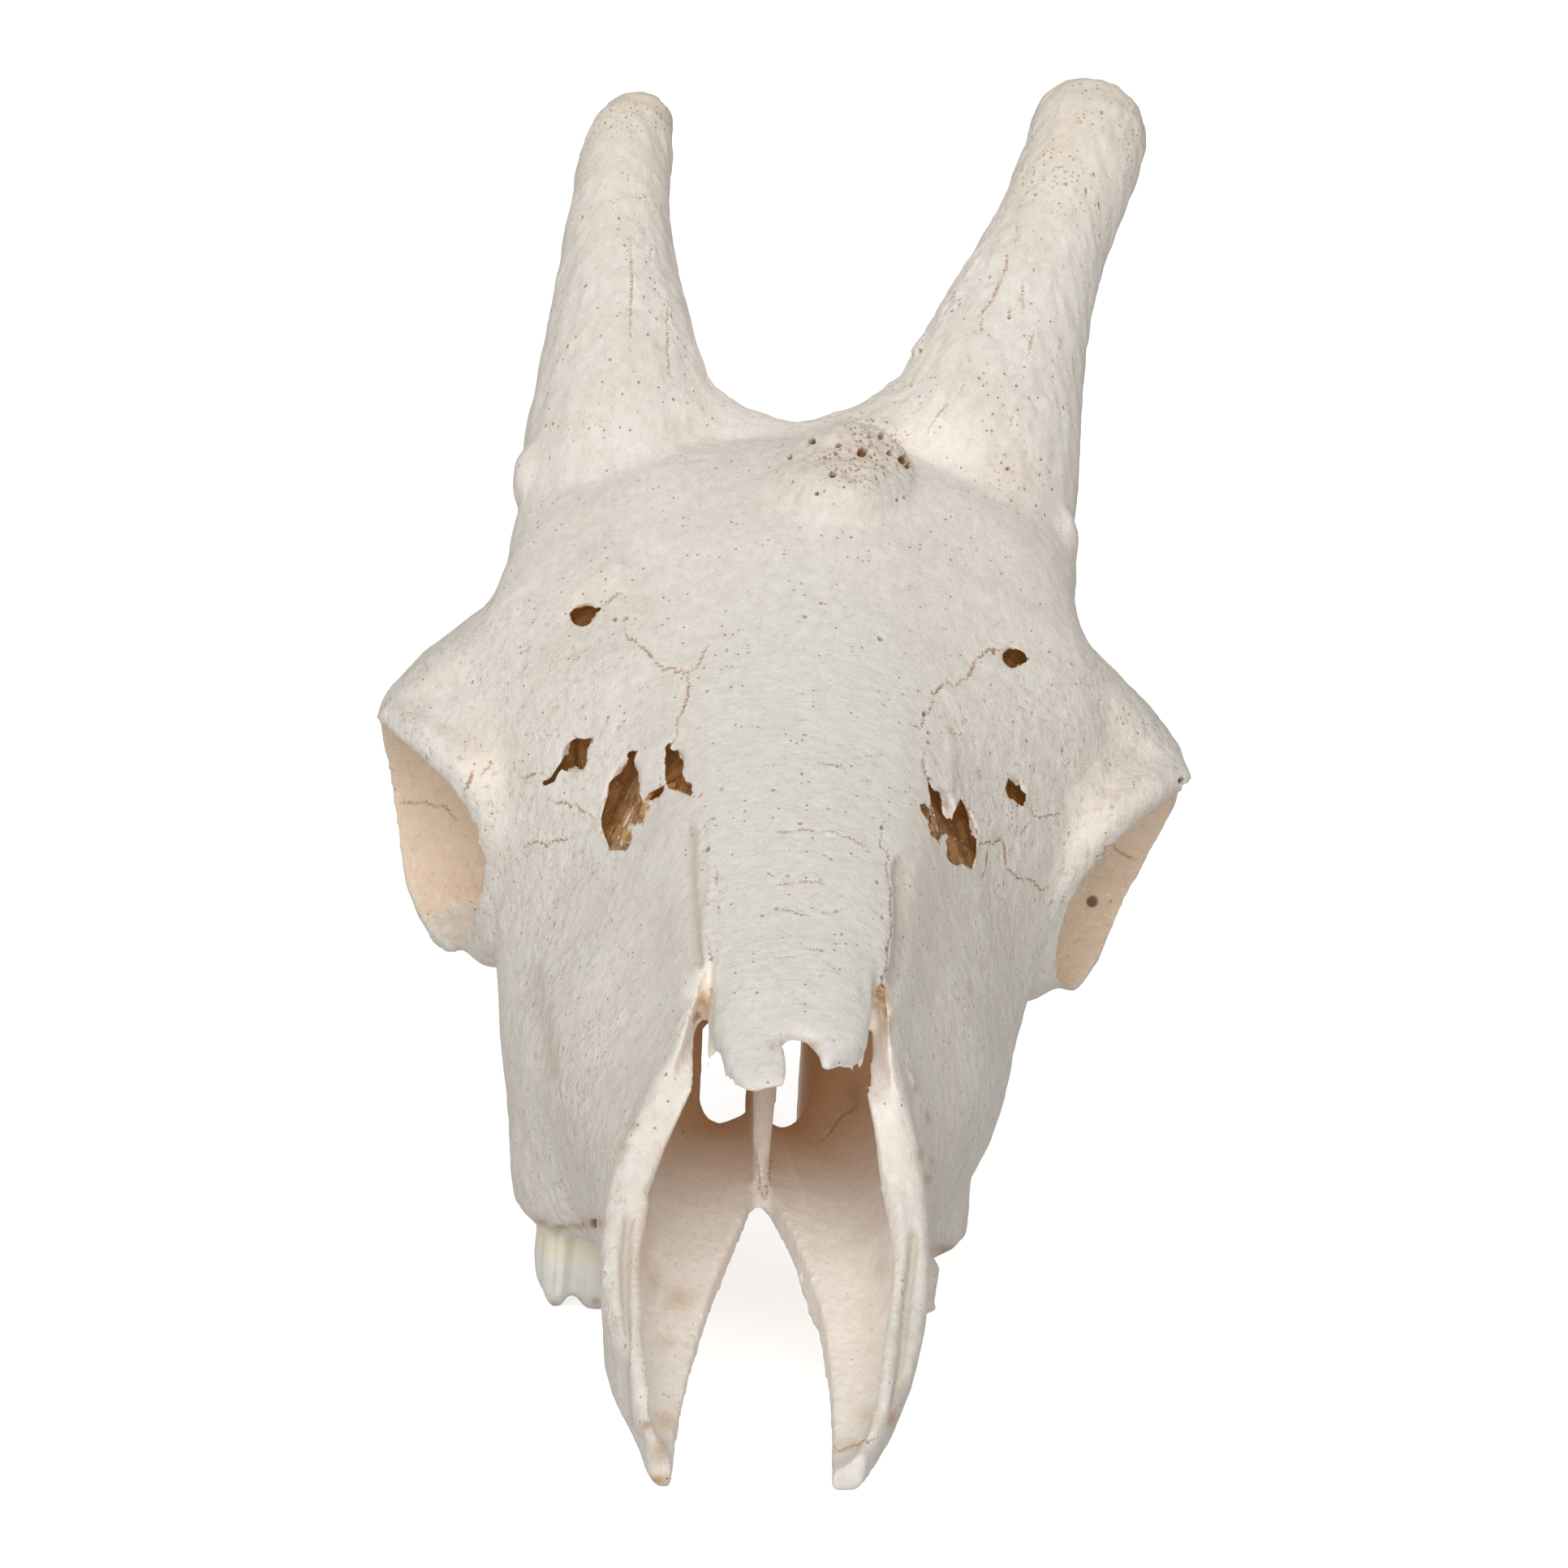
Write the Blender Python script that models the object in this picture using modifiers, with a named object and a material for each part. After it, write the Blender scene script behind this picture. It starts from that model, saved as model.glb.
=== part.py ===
"""Cranium of a giraffe, without its lower jaw, at life size.

The skull looks along -Y, stands on the floor plane z = 0 and has its origin under
the middle of its bounding box. "left" and "right" are the animal's own sides, so
"left" is +X. Tables below are in millimetres, measured back (y) from the first
cheek tooth and up (z) from the chewing surface; meshes are made in metres.
"""

import math

import bmesh
import bpy
from mathutils import Matrix, Vector

MM = 0.001
SKULL_NAME = "giraffe_skull"
SIDES = (("left", 1), ("right", -1))

# Driving sizes
FRAME_SHIFT = (-0.8, -137.5, -1.0)
FLOOR_LEVEL = 1.0
FLOOR_ROOM = ((-150, -150, -50), (150, 450, FLOOR_LEVEL))
JOINT_GAP = 0.3
FUSE_VOXEL = 2.4
FUSE_SMOOTHING = 4
SKULL_TRIANGLES = 9400
RING_POINTS = 56
SECTION_STEP = 8.0
LOW_SHIFT = -4.0
LOW_SLOPE = 0.08
LEAN_SLOPE = 0.075
LEAN_HEIGHT = 125.0
LEAN_WIDTH = 105.0
TIP_HEIGHT = 34.0
TIP_SLOPE = 0.09
SIDEWAYS = 0.6
# Places on the left side that are drawn in, as (y, z, reach along y, reach along z, depth):
# the cheek over the gum of the lost molars, and the flank over the eye
DENTS = ((112, 46, 62, 13, 5.0), (218, 198, 34, 20, 3.2))

# Long lines of the outer form, as (y, half width, height)
TOP_LINE = (
    (-22, 0, 128), (-15, 0, 131), (20, 0, 147), (60, 0, 165), (100, 0, 183), (150, 0, 208), (190, 0, 230),
    (225, 0, 245), (265, 0, 246), (300, 0, 235), (340, 0, 217), (372, 0, 202), (392, 0, 150),
)
BRIDGE_LINE = (
    (-22, 20, 122), (-15, 22, 124), (20, 26, 139), (60, 31, 156), (110, 36, 178), (150, 44, 196),
    (190, 55, 216), (225, 62, 232), (265, 60, 236), (300, 50, 219), (340, 48, 201), (372, 44, 186),
    (392, 30, 140),
)
SIDE_LINE = (
    (-22, 31, 102), (-15, 33, 104), (20, 38, 112), (60, 45, 128), (110, 56, 148), (130, 66, 157),
    (150, 80, 167), (170, 94, 173), (190, 98, 182), (225, 91, 200), (265, 87, 214), (300, 68, 188),
    (340, 61, 168), (372, 58, 152), (392, 42, 118),
)
CHEEK_LINE = (
    (-22, 42, 76), (-15, 43, 78), (20, 51, 80), (60, 63, 88), (110, 74, 90), (130, 77.5, 92), (150, 82, 102),
    (170, 84, 108), (190, 82, 112), (225, 72, 132), (265, 62, 158), (300, 64, 145), (340, 66, 132),
    (372, 60, 120), (392, 44, 102),
)
JAW_LINE = (
    (-22, 44, 52), (-15, 44, 52), (20, 48, 54), (60, 58, 57), (90, 68, 56), (115, 72.5, 56), (150, 70, 62),
    (190, 58, 82), (225, 48, 95), (265, 57, 112), (300, 62, 106), (340, 66, 98), (372, 56, 90),
    (392, 40, 90),
)
TOOTH_LINE = (
    (-22, 40, 27), (-15, 40, 28), (20, 41, 33), (50, 44, 33), (75, 54, 30), (92, 61, 26.5), (115, 65, 24),
    (140, 63, 25), (155, 56, 30), (190, 38, 64), (225, 33, 72), (265, 44, 76), (300, 52, 74),
    (340, 52, 72), (372, 40, 72), (392, 28, 76),
)
GUM_LINE = (
    (-22, 29, 26), (-15, 29, 27), (20, 26, 33), (60, 28, 32), (110, 34, 27), (145, 34, 29), (190, 23, 64),
    (225, 21, 66), (265, 26, 63), (300, 30, 60), (340, 30, 60), (372, 23, 62), (392, 18, 67),
)
PALATE_LINE = (
    (-22, 0, 36), (-15, 0, 38), (20, 0, 47), (60, 0, 50), (110, 0, 51), (150, 0, 56), (190, 0, 64),
    (225, 0, 65), (265, 0, 61), (300, 0, 60), (340, 0, 60), (372, 0, 62), (392, 0, 67),
)
FACE_LINES = (
    TOP_LINE, BRIDGE_LINE, SIDE_LINE, CHEEK_LINE, JAW_LINE, TOOTH_LINE, GUM_LINE, PALATE_LINE,
)

# Long lines of the two maxilla blades in front of the first tooth
BLADE_CREST_LINE = (
    (-131, 0, 20), (-110, 0, 33), (-90, 0, 46), (-70, 0, 57), (-50, 0, 72), (-35, 0, 88), (-20, 0, 110),
    (-8, 0, 122),
)
BLADE_INNER_LINE = (
    (-131, 22, 20), (-110, 28, 33), (-90, 32, 46), (-70, 34, 57), (-50, 33, 72), (-35, 28, 88),
    (-20, 18, 110), (-8, 12, 122),
)
BLADE_OUTER_LINE = (
    (-131, 26.5, 19), (-110, 32.8, 33), (-90, 40, 45), (-70, 44, 56), (-50, 44, 71), (-35, 40.5, 87),
    (-20, 31, 107), (-8, 26, 118),
)
BLADE_SIDE_LINE = (
    (-131, 27, 16.5), (-110, 31.8, 24), (-90, 38.5, 32), (-70, 43, 40), (-50, 44, 50), (-35, 44, 62),
    (-20, 41, 80), (-8, 41, 84),
)
BLADE_LOW_LINE = (
    (-131, 27.5, 14), (-110, 31, 16.5), (-90, 35, 19), (-70, 38, 21), (-50, 39.5, 23), (-35, 40, 25),
    (-20, 40, 27), (-8, 40, 29),
)
BLADE_UNDER_LINE = (
    (-131, 22, 13.5), (-110, 22, 15.5), (-90, 25, 18.5), (-70, 27, 21), (-50, 28, 23.5), (-35, 28, 26),
    (-20, 28, 28), (-8, 28, 28.5),
)
BLADE_MIDDLE_LINE = (
    (-131, 0, 13.5), (-110, 0, 16.5), (-90, 0, 21), (-70, 0, 25.5), (-50, 0, 30.5), (-35, 0, 34.5),
    (-20, 0, 37.5), (-8, 0, 40),
)
BLADE_SHIFT_LINE = ((-131, 0), (-118, 0.4), (-105, 1.4), (-85, 0.8), (-60, 0), (-8, 0))
BLADE_LINES = (
    BLADE_CREST_LINE, BLADE_INNER_LINE, BLADE_OUTER_LINE, BLADE_SIDE_LINE, BLADE_LOW_LINE,
    BLADE_UNDER_LINE, BLADE_MIDDLE_LINE,
)

# Long lines of the nasal passage
PASSAGE_TOP = (
    (-144, 0, 60), (-110, 0, 60), (-70, 0, 66), (-50, 0, 80), (-35, 0, 98), (-20, 0, 117),
    (0, 0, 131), (30, 0, 144), (60, 0, 152), (90, 0, 146), (115, 0, 122), (140, 0, 92), (165, 0, 84),
)
PASSAGE_ROOF = (
    (-144, 20, 60), (-110, 27, 60), (-70, 33, 66), (-50, 32, 80), (-35, 25, 96), (-20, 15, 114),
    (0, 14, 127), (30, 18, 140), (60, 21, 147), (90, 21, 141), (115, 15, 118), (140, 11, 90),
    (165, 10, 83),
)
PASSAGE_SHOULDER = (
    (-144, 22, 34), (-110, 29.5, 36), (-70, 34.5, 52), (-50, 34, 66), (-35, 30, 80), (-20, 25, 98),
    (0, 25, 108), (30, 31, 118), (60, 36, 124), (90, 36, 120), (115, 22, 106), (140, 16, 84),
    (165, 15, 78),
)
PASSAGE_SIDE = (
    (-144, 21, 24), (-110, 29, 26), (-70, 36, 38), (-50, 38, 48), (-35, 38.5, 58), (-20, 37, 68),
    (0, 38, 76), (30, 43, 80), (60, 46, 84), (90, 38, 80), (115, 21, 76), (140, 17, 74),
    (165, 16, 70),
)
PASSAGE_FLOOR = (
    (-144, 16, 20), (-126, 18, 19), (-110, 22, 20.5), (-70, 26, 30), (-50, 28, 35), (-35, 29, 40),
    (-20, 29, 44), (0, 30, 50), (30, 33, 56), (60, 33, 59), (90, 23, 59.5), (115, 11.5, 57), (140, 14, 58),
    (165, 15, 60),
)
PASSAGE_MIDDLE = (
    (-144, 0, 19), (-126, 0, 18), (-110, 0, 20), (-70, 0, 29), (-50, 0, 34), (-35, 0, 38.5),
    (-20, 0, 42.5), (0, 0, 47.5), (30, 0, 54), (60, 0, 56), (90, 0, 59), (115, 0, 61), (140, 0, 60),
    (165, 0, 58),
)
PASSAGE_LINES = (
    PASSAGE_TOP, PASSAGE_ROOF, PASSAGE_SHOULDER, PASSAGE_SIDE, PASSAGE_FLOOR, PASSAGE_MIDDLE,
)

# Free front of the nasal bones: height at the middle, and half width and height at the edge
NASAL_CROWN_LINE = ((-62, 0, 109), (-40, 0, 119), (-20, 0, 129), (0, 0, 138))
NASAL_EDGE_LINE = ((-62, 21.5, 98), (-40, 23, 108), (-20, 22.5, 117), (0, 22, 126))
NASAL_THICKNESS = ((-62, 4.4), (-30, 5.4), (0, 6.0))
NOSE_ROOM = (60, 160)
# Notches between the nasal tips and the maxillae, as (y, inner x, outer x, low z)
NOTCH_LINE = (
    (-42, 21.2, 33, 94), (-24, 21.5, 30, 100), (-12, 22, 27, 104), (0, 22.3, 24.8, 108), (6, 22.8, 23.6, 112),
)

# Right and left edge of the cleft between the palate plates, and the choana behind them
CLEFT_LINE = (
    (-150, -28, 14), (-131, -26.5, 14.2), (-116, -25.6, 14.8), (-100, -25, 15.4), (-77, -22.8, 15.6),
    (-60, -21, 15), (-35, -17.6, 13.5), (-22, -15.8, 12.2), (-10, -13.2, 10), (3, -10.5, 7.7), (15, -7.8, 5.0),
    (30, -5.2, 1.2), (46, -3.4, -2.6),
)
CHOANA_ROOF_LINE = ((116, 82), (150, 82), (200, 77), (240, 69), (275, 60))
CHOANA_HALF_WIDTH = 16.5
# What is broken off the tip of the left blade, seen from above
LEFT_TIP_OUTLINE = ((8, -150), (50, -150), (50, -128), (27, -124), (20, -122.5), (8, -124))
TIP_ROOM = (-20, 60)
MIDLINE_X = -3.0

# Orbits
ORBIT_CENTRE = (107, 188, 124.5)
ORBIT_SLOPE = 0.33
ORBIT_FRONT_SLOPE = 0.46
ORBIT_LOW_FRONT = 1.15
ORBIT_SHIFTS = {
    "left": ((84, 0), (98, -2), (108, -5.5), (125, -3.5), (150, 1), (165, 0)),
    "right": ((84, -4), (98, -4), (110, 1), (128, 5), (150, 1.5), (165, -2)),
}
ORBIT_SQUARENESS = {"left": 1.0, "right": 0.85}
ORBIT_DROP = {"left": 1.0, "right": 1.2}
ORBIT_RADII = (41.0, 39.5)
ORBIT_OPENING = (34.5, 33.0)

# Horn cores, as (x, y, z, half width, half depth)
OSSICONES = {
    "left": (
        (55, 262, 214, 34, 38), (57.5, 276, 243, 33, 34), (62.5, 290, 268, 28, 27),
        (69.5, 304, 290, 23, 22.5), (78.5, 320, 312, 19.2, 19.5), (86, 336, 331, 19.6, 19),
        (89, 346, 342, 20, 19), (89, 353, 349.5, 17, 15.5), (89.5, 357.5, 354, 9.5, 9),
    ),
    "right": (
        (-54, 262, 214, 33.5, 37), (-55, 275, 240, 32, 34), (-58.5, 289, 264, 25.5, 27),
        (-60.8, 304, 287, 19.6, 21), (-61.8, 318, 305, 16.8, 18), (-61, 332, 321, 15.4, 16),
        (-59, 341, 331, 13.8, 14), (-56.4, 348, 337.5, 10.8, 10.5), (-55.5, 351.5, 341, 5.5, 5.5),
    ),
}
LUMPS = (
    ("flake_right_horn", (-86, 258, 227), (4, 10, 10)),
    ("flake_left_horn", (85, 250, 217), (5, 12, 14)),
    ("left_gum_lump", (43, 20, 36), (8.5, 20, 9)),
)

# Cheek teeth, from the front, as (name, length, width)
TEETH = (("P2", 20, 18), ("P3", 22, 20), ("P4", 23, 23), ("M1", 27, 26), ("M2", 31, 27), ("M3", 31, 26))
TEETH_PRESENT = {"right": ("M2", "M3"), "left": ("P2", "P3", "P4")}
TOOTH_SHIFT = {"right": -1.5, "left": -1.0}
# A lobe is an outer and an inner column. Each has a profile from the root down, as height above
# the chewing surface and share of its full width; COLUMNS holds their places across the tooth and
# their half widths, as shares of the width of the tooth
COLUMN_PROFILE = ((38, 0.8), (26, 0.92), (13, 1.0), (6, 0.82), (2, 0.46), (0, 0.14))
COLUMNS = ((0.3, 0.205), (-0.13, 0.33))
COLUMN_POINTS = 10

# Where the bones meet
ROOM_REACH = 150.0
ROOM_TOP = 260.0
HORN_FOOT_DIRECTION = (0.0, 0.55, 0.83)
HORN_FOOT_DROP = 6.0
HORN_ROOM_RADIUS = 48.0
HORN_ROOM_LENGTH = 150.0
NASAL_WIDTH_LINE = ((-72, 24.5), (-20, 24), (20, 26), (60, 29.5), (100, 33), (136, 38))
NASAL_END = 134.0
NASAL_DEPTH = 13.0
ZYGOMATIC_INNER = 60.0
ZYGOMATIC_OUTLINE = (
    (104, 136), (100, 150), (132, 148), (160, 150), (196, 122), (232, 122), (284, 130), (284, 78), (232, 74),
    (172, 68), (150, 82), (128, 98), (116, 116),
)
SEPTUM_OUTLINE = (
    (38, 50), (60, 50), (120, 50), (146, 58), (190, 66), (232, 66), (232, 90), (160, 100), (122, 116),
    (92, 104), (62, 80), (44, 62),
)
VOMER_OUTLINE = (
    (27, 55.4), (39, 55.6), (45, 57.7), (60, 58.5), (90, 60.5), (113, 62.5), (118, 44), (150, 50), (190, 58),
    (226, 60), (226, 68), (200, 74), (165, 80.5), (140, 89), (122, 108), (110, 125), (27, 80),
)
MAXILLA_OUTLINE = (
    (-150, -12), (-150, 180), (60, 200), (88, 172), (118, 150), (140, 110), (160, 84), (168, -12),
)
FRONTAL_OUTLINE = (
    (40, 160), (100, 130), (236, 118), (256, 150), (286, 206), (300, 300), (40, 300),
)

# Thick front edge of the vomer, as (x, y, z, half width, half depth)
VOMER_EDGE = (
    (-3, 34, 56, 0.9, 1.2), (-3, 42, 63, 2.2, 1.8), (-3, 58, 79, 3.8, 2.4), (-3, 80, 97, 4.0, 2.6),
    (-3, 108, 111, 3.4, 2.6),
)

BONE_MATERIALS = {
    "braincase": (0.80, 0.745, 0.665),
    "frontal": (0.83, 0.79, 0.73),
    "nasals": (0.84, 0.82, 0.785),
    "maxilla_left": (0.79, 0.735, 0.66),
    "maxilla_right": (0.79, 0.735, 0.66),
    "zygomatic_left": (0.82, 0.765, 0.69),
    "zygomatic_right": (0.82, 0.765, 0.69),
    "ossicone_left": (0.82, 0.775, 0.70),
    "ossicone_right": (0.82, 0.775, 0.70),
    "vomer": (0.78, 0.71, 0.63),
}
BONE_ROUGHNESS = 0.72


# Lines and rings

def along(line, y):
    """The values of a named line at y, on a smooth curve through its points."""
    if y <= line[0][0]:
        return line[0][1:]
    if y >= line[-1][0]:
        return line[-1][1:]
    index = max(i for i in range(len(line) - 1) if line[i][0] <= y)
    before = line[max(index - 1, 0)]
    start = line[index]
    end = line[index + 1]
    after = line[min(index + 2, len(line) - 1)]
    span = end[0] - start[0]
    t = (y - start[0]) / span
    values = []
    for i in range(1, len(start)):
        slope_start = (end[i] - before[i]) / (end[0] - before[0]) * span
        slope_end = (after[i] - start[i]) / (after[0] - start[0]) * span
        values.append(
            (2 * t**3 - 3 * t**2 + 1) * start[i] + (t**3 - 2 * t**2 + t) * slope_start
            + (3 * t**2 - 2 * t**3) * end[i] + (t**3 - t**2) * slope_end
        )
    return tuple(values)


def closed_spline(points, count):
    """A closed smooth curve through points, as count points spread evenly along it."""
    total = len(points)
    fine = []
    for i in range(total):
        p0, p1, p2, p3 = (points[(i + k - 1) % total] for k in range(4))
        for step in range(8):
            t = step / 8
            fine.append(
                0.5 * (2 * p1 + (p2 - p0) * t + (2 * p0 - 5 * p1 + 4 * p2 - p3) * t**2
                       + (3 * p1 - p0 - 3 * p2 + p3) * t**3)
            )
    lengths = [0.0]
    for i, point in enumerate(fine):
        lengths.append(lengths[-1] + (fine[(i + 1) % len(fine)] - point).length)
    ring = []
    index = 0
    for k in range(count):
        wanted = lengths[-1] * k / count
        while lengths[index + 1] < wanted:
            index += 1
        share = (wanted - lengths[index]) / max(lengths[index + 1] - lengths[index], 1e-9)
        ring.append(fine[index].lerp(fine[(index + 1) % len(fine)], share))
    return ring


def lean(x, z):
    """How far a point of the symmetric skull is moved to its left; the wide brows move least."""
    if z < TIP_HEIGHT:
        return LOW_SHIFT - TIP_SLOPE * (TIP_HEIGHT - z)
    if z < LEAN_HEIGHT:
        return max(LOW_SHIFT, LOW_SLOPE * (z - LEAN_HEIGHT))
    return LEAN_SLOPE * (z - LEAN_HEIGHT) * max(1 - abs(x) / LEAN_WIDTH, 0)


def section(lines, y):
    """The closed ring that several long lines and their mirror images make at y."""
    half = [along(line, y) for line in lines]
    right = [Vector((x, y, z)) for x, z in half]
    left = [Vector((-x, y, z)) for x, z in reversed(half) if x > 0]
    ring = closed_spline(right + left, RING_POINTS)
    for point in ring:
        point.x += lean(point.x, point.z)
    return ring


def dented(ring):
    """The ring with its left side drawn in where the skull isn't symmetric."""
    for point in ring:
        for y, z, reach_y, reach_z, depth in DENTS:
            away = ((point.y - y) / reach_y) ** 2 + ((point.z - z) / reach_z) ** 2
            if point.x > 0:
                point.x -= depth * max(1 - away, 0)
    return ring


def stations(start, end, step=SECTION_STEP):
    """Evenly spaced places from start to end, both included."""
    count = max(int(round((end - start) / step)), 1)
    return [start + (end - start) * i / count for i in range(count + 1)]


# Meshes

def add_object(name, bm, group):
    """A new object from a bmesh, in the named collection."""
    bmesh.ops.recalc_face_normals(bm, faces=bm.faces)
    mesh = bpy.data.meshes.new(name)
    bm.to_mesh(mesh)
    bm.free()
    obj = bpy.data.objects.new(name, mesh)
    bpy.data.collections[group].objects.link(obj)
    return obj


def loft(name, rings, group="work"):
    """One closed body through rings of equal length, given in millimetres."""
    bm = bmesh.new()
    rows = [[bm.verts.new(point * MM) for point in ring] for ring in rings]
    for lower, upper in zip(rows, rows[1:]):
        for i in range(len(lower)):
            j = (i + 1) % len(lower)
            bm.faces.new((lower[i], lower[j], upper[j], upper[i]))
    bm.faces.new(rows[0])
    bm.faces.new(reversed(rows[-1]))
    bmesh.ops.triangulate(bm, faces=[face for face in bm.faces if len(face.verts) > 4])
    return add_object(name, bm, group)


def ball(name, centre, radii, turn=(0.0, 0.0, 0.0), group="work", segments=28):
    """A closed ellipsoid; turn is in degrees about X, Y and Z."""
    bm = bmesh.new()
    bmesh.ops.create_uvsphere(bm, u_segments=segments, v_segments=segments // 2, radius=1.0)
    size = Matrix.Diagonal(Vector(radii) * MM).to_4x4()
    spin = Matrix.Identity(4)
    for angle, axis in zip(turn, "XYZ"):
        spin = Matrix.Rotation(math.radians(angle), 4, axis) @ spin
    bm.transform(Matrix.Translation(Vector(centre) * MM) @ spin @ size)
    return add_object(name, bm, group)


def limb(name, path, group="work", sides=20):
    """A closed tube along path, whose points are (x, y, z, half width, half depth).

    The width starts along X, or along Y where the path starts sideways, and turns with it."""
    points = [Vector(row[:3]) for row in path]
    sideways = abs((points[1] - points[0]).normalized().x) > SIDEWAYS
    across = Vector((0, 1, 0)) if sideways else Vector((1, 0, 0))
    rings = []
    for i, row in enumerate(path):
        ahead = (points[min(i + 1, len(path) - 1)] - points[max(i - 1, 0)]).normalized()
        across = (across - ahead * ahead.dot(across)).normalized()
        upward = ahead.cross(across)
        rings.append([
            points[i] + across * math.cos(a) * row[3] + upward * math.sin(a) * row[4]
            for a in (2 * math.pi * k / sides for k in range(sides))
        ])
    return loft(name, rings, group)


def plate(name, outline, x_low, x_high, group="work"):
    """A flat piece: an outline of (y, z) points, extruded from x_low to x_high."""
    bm = bmesh.new()
    face = bm.faces.new([bm.verts.new(Vector((x_low, y, z)) * MM) for y, z in outline])
    pushed = bmesh.ops.extrude_face_region(bm, geom=[face])
    moved = [item for item in pushed["geom"] if isinstance(item, bmesh.types.BMVert)]
    bmesh.ops.translate(bm, verts=moved, vec=Vector((x_high - x_low, 0, 0)) * MM)
    bmesh.ops.triangulate(bm, faces=bm.faces[:])
    return add_object(name, bm, group)


def box(name, low, high, group="work"):
    """A closed box between two corners."""
    bm = bmesh.new()
    bmesh.ops.create_cube(bm, size=1.0)
    size = Vector(high) - Vector(low)
    middle = (Vector(high) + Vector(low)) / 2
    bm.transform(Matrix.Translation(middle * MM) @ Matrix.Diagonal(size * MM).to_4x4())
    return add_object(name, bm, group)


# Modifiers

def apply_modifier(obj, kind, **settings):
    """Adds one modifier with the settings given and makes it part of the mesh."""
    modifier = obj.modifiers.new(kind.title(), kind)
    for key, value in settings.items():
        setattr(modifier, key, value)
    graph = bpy.context.evaluated_depsgraph_get()
    graph.update()
    shaped = bpy.data.meshes.new_from_object(obj.evaluated_get(graph))
    obj.modifiers.remove(modifier)
    old = obj.data
    obj.data = shaped
    bpy.data.meshes.remove(old)
    return obj


def keep_largest(obj):
    """Drops every closed surface of obj but the largest, and turns its faces outward."""
    bm = bmesh.new()
    bm.from_mesh(obj.data)
    bmesh.ops.dissolve_degenerate(bm, dist=1e-6, edges=bm.edges)
    unseen = set(bm.faces)
    shells = []
    while unseen:
        shell = set()
        front = [unseen.pop()]
        while front:
            face = front.pop()
            shell.add(face)
            for edge in face.edges:
                for other in edge.link_faces:
                    if other in unseen:
                        unseen.discard(other)
                        front.append(other)
        shells.append(shell)
    shells.sort(key=lambda faces: sum(face.calc_area() for face in faces), reverse=True)
    loose = [face for shell in shells[1:] for face in shell]
    bmesh.ops.delete(bm, geom=loose, context="FACES")
    bm.to_mesh(obj.data)
    bm.free()
    return obj


def combine(obj, others, operation):
    """Joins others to obj or cuts them from it, and removes them."""
    for other in others:
        apply_modifier(obj, "BOOLEAN", object=other, operation=operation, solver="MANIFOLD")
        bpy.data.objects.remove(other)
    return keep_largest(obj)


def fuse(name, pieces):
    """One blended body from overlapping pieces, as bone grows together."""
    bm = bmesh.new()
    for piece in pieces:
        bm.from_mesh(piece.data)
        bpy.data.objects.remove(piece)
    body = add_object(name, bm, "work")
    apply_modifier(body, "REMESH", mode="VOXEL", voxel_size=FUSE_VOXEL * MM)
    apply_modifier(body, "SMOOTH", factor=0.5, iterations=FUSE_SMOOTHING)
    return body


# Outer form

def face_and_braincase():
    """The long middle body of the skull, from the nasal notch to the occiput."""
    rings = [dented(section(FACE_LINES, y)) for y in stations(FACE_LINES[0][0][0], 392)]
    last = rings[-1]
    centre = sum(last, Vector()) / len(last)
    rings.append([centre.lerp(point, 0.7) + Vector((0, 6, 0)) for point in last])
    return loft("middle", rings)


def maxilla_blades():
    """The two blades of the upper jaw in front of the teeth, still one solid trough."""
    rings = []
    for y in stations(BLADE_LINES[0][0][0], -8, 5):
        shift = along(BLADE_SHIFT_LINE, y)[0]
        rings.append([point + Vector((shift, 0, 0)) for point in section(BLADE_LINES, y)])
    return loft("blades", rings)


def nasal_tips():
    """The free front ends of the two nasal bones, a thin arch that carries on the bridge."""
    rings = []
    for y in stations(-62, 0, 6):
        _, crown = along(NASAL_CROWN_LINE, y)
        wide, edge = along(NASAL_EDGE_LINE, y)
        outside = []
        inside = []
        for k in range(13):
            angle = math.pi * k / 12
            across = math.copysign(abs(math.cos(angle)) ** 0.8, math.cos(angle))
            height = edge + (crown - edge) * math.sin(angle) ** 0.9
            outside.append(Vector((wide * across, y, height)))
            inside.append(Vector(((wide - 4) * across, y, height - along(NASAL_THICKNESS, y)[0])))
        rings.append(outside + inside[::-1])
    for ring in rings:
        for point in ring:
            point.x += lean(point.x, point.z)
    return loft("nasal_tips", rings)


def cut_nasal_tips(tips):
    """Shapes the free ends: a long right tip and, past a notch, a short broad left one."""
    ends = (
        (-2, -75), (-1.5, -56), (-3, -37), (4.8, -39.5), (6, -45), (7.2, -48.5), (9.8, -49), (12.5, -44.5),
        (17, -39), (19.8, -31), (23, -24), (40, -24), (40, -75),
    )
    corner = (
        (-40, -75), (-40, -24), (-24, -24), (-20.8, -36), (-19, -47), (-16, -56), (-12, -60.5), (-6, -60),
        (-2.5, -54), (-2, -75),
    )
    return combine(tips, [plan_block("ends", ends), plan_block("corner", corner)], "DIFFERENCE")


def plan_block(name, outline, room=NOSE_ROOM):
    """A block between the two heights of room, with an outline of (x, y) points."""
    bm = bmesh.new()
    low, high = room
    face = bm.faces.new([bm.verts.new(Vector((x, y, low)) * MM) for x, y in outline])
    pushed = bmesh.ops.extrude_face_region(bm, geom=[face])
    moved = [item for item in pushed["geom"] if isinstance(item, bmesh.types.BMVert)]
    bmesh.ops.translate(bm, verts=moved, vec=Vector((0, 0, high - low)) * MM)
    bmesh.ops.triangulate(bm, faces=bm.faces[:])
    return add_object(name, bm, "work")


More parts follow.
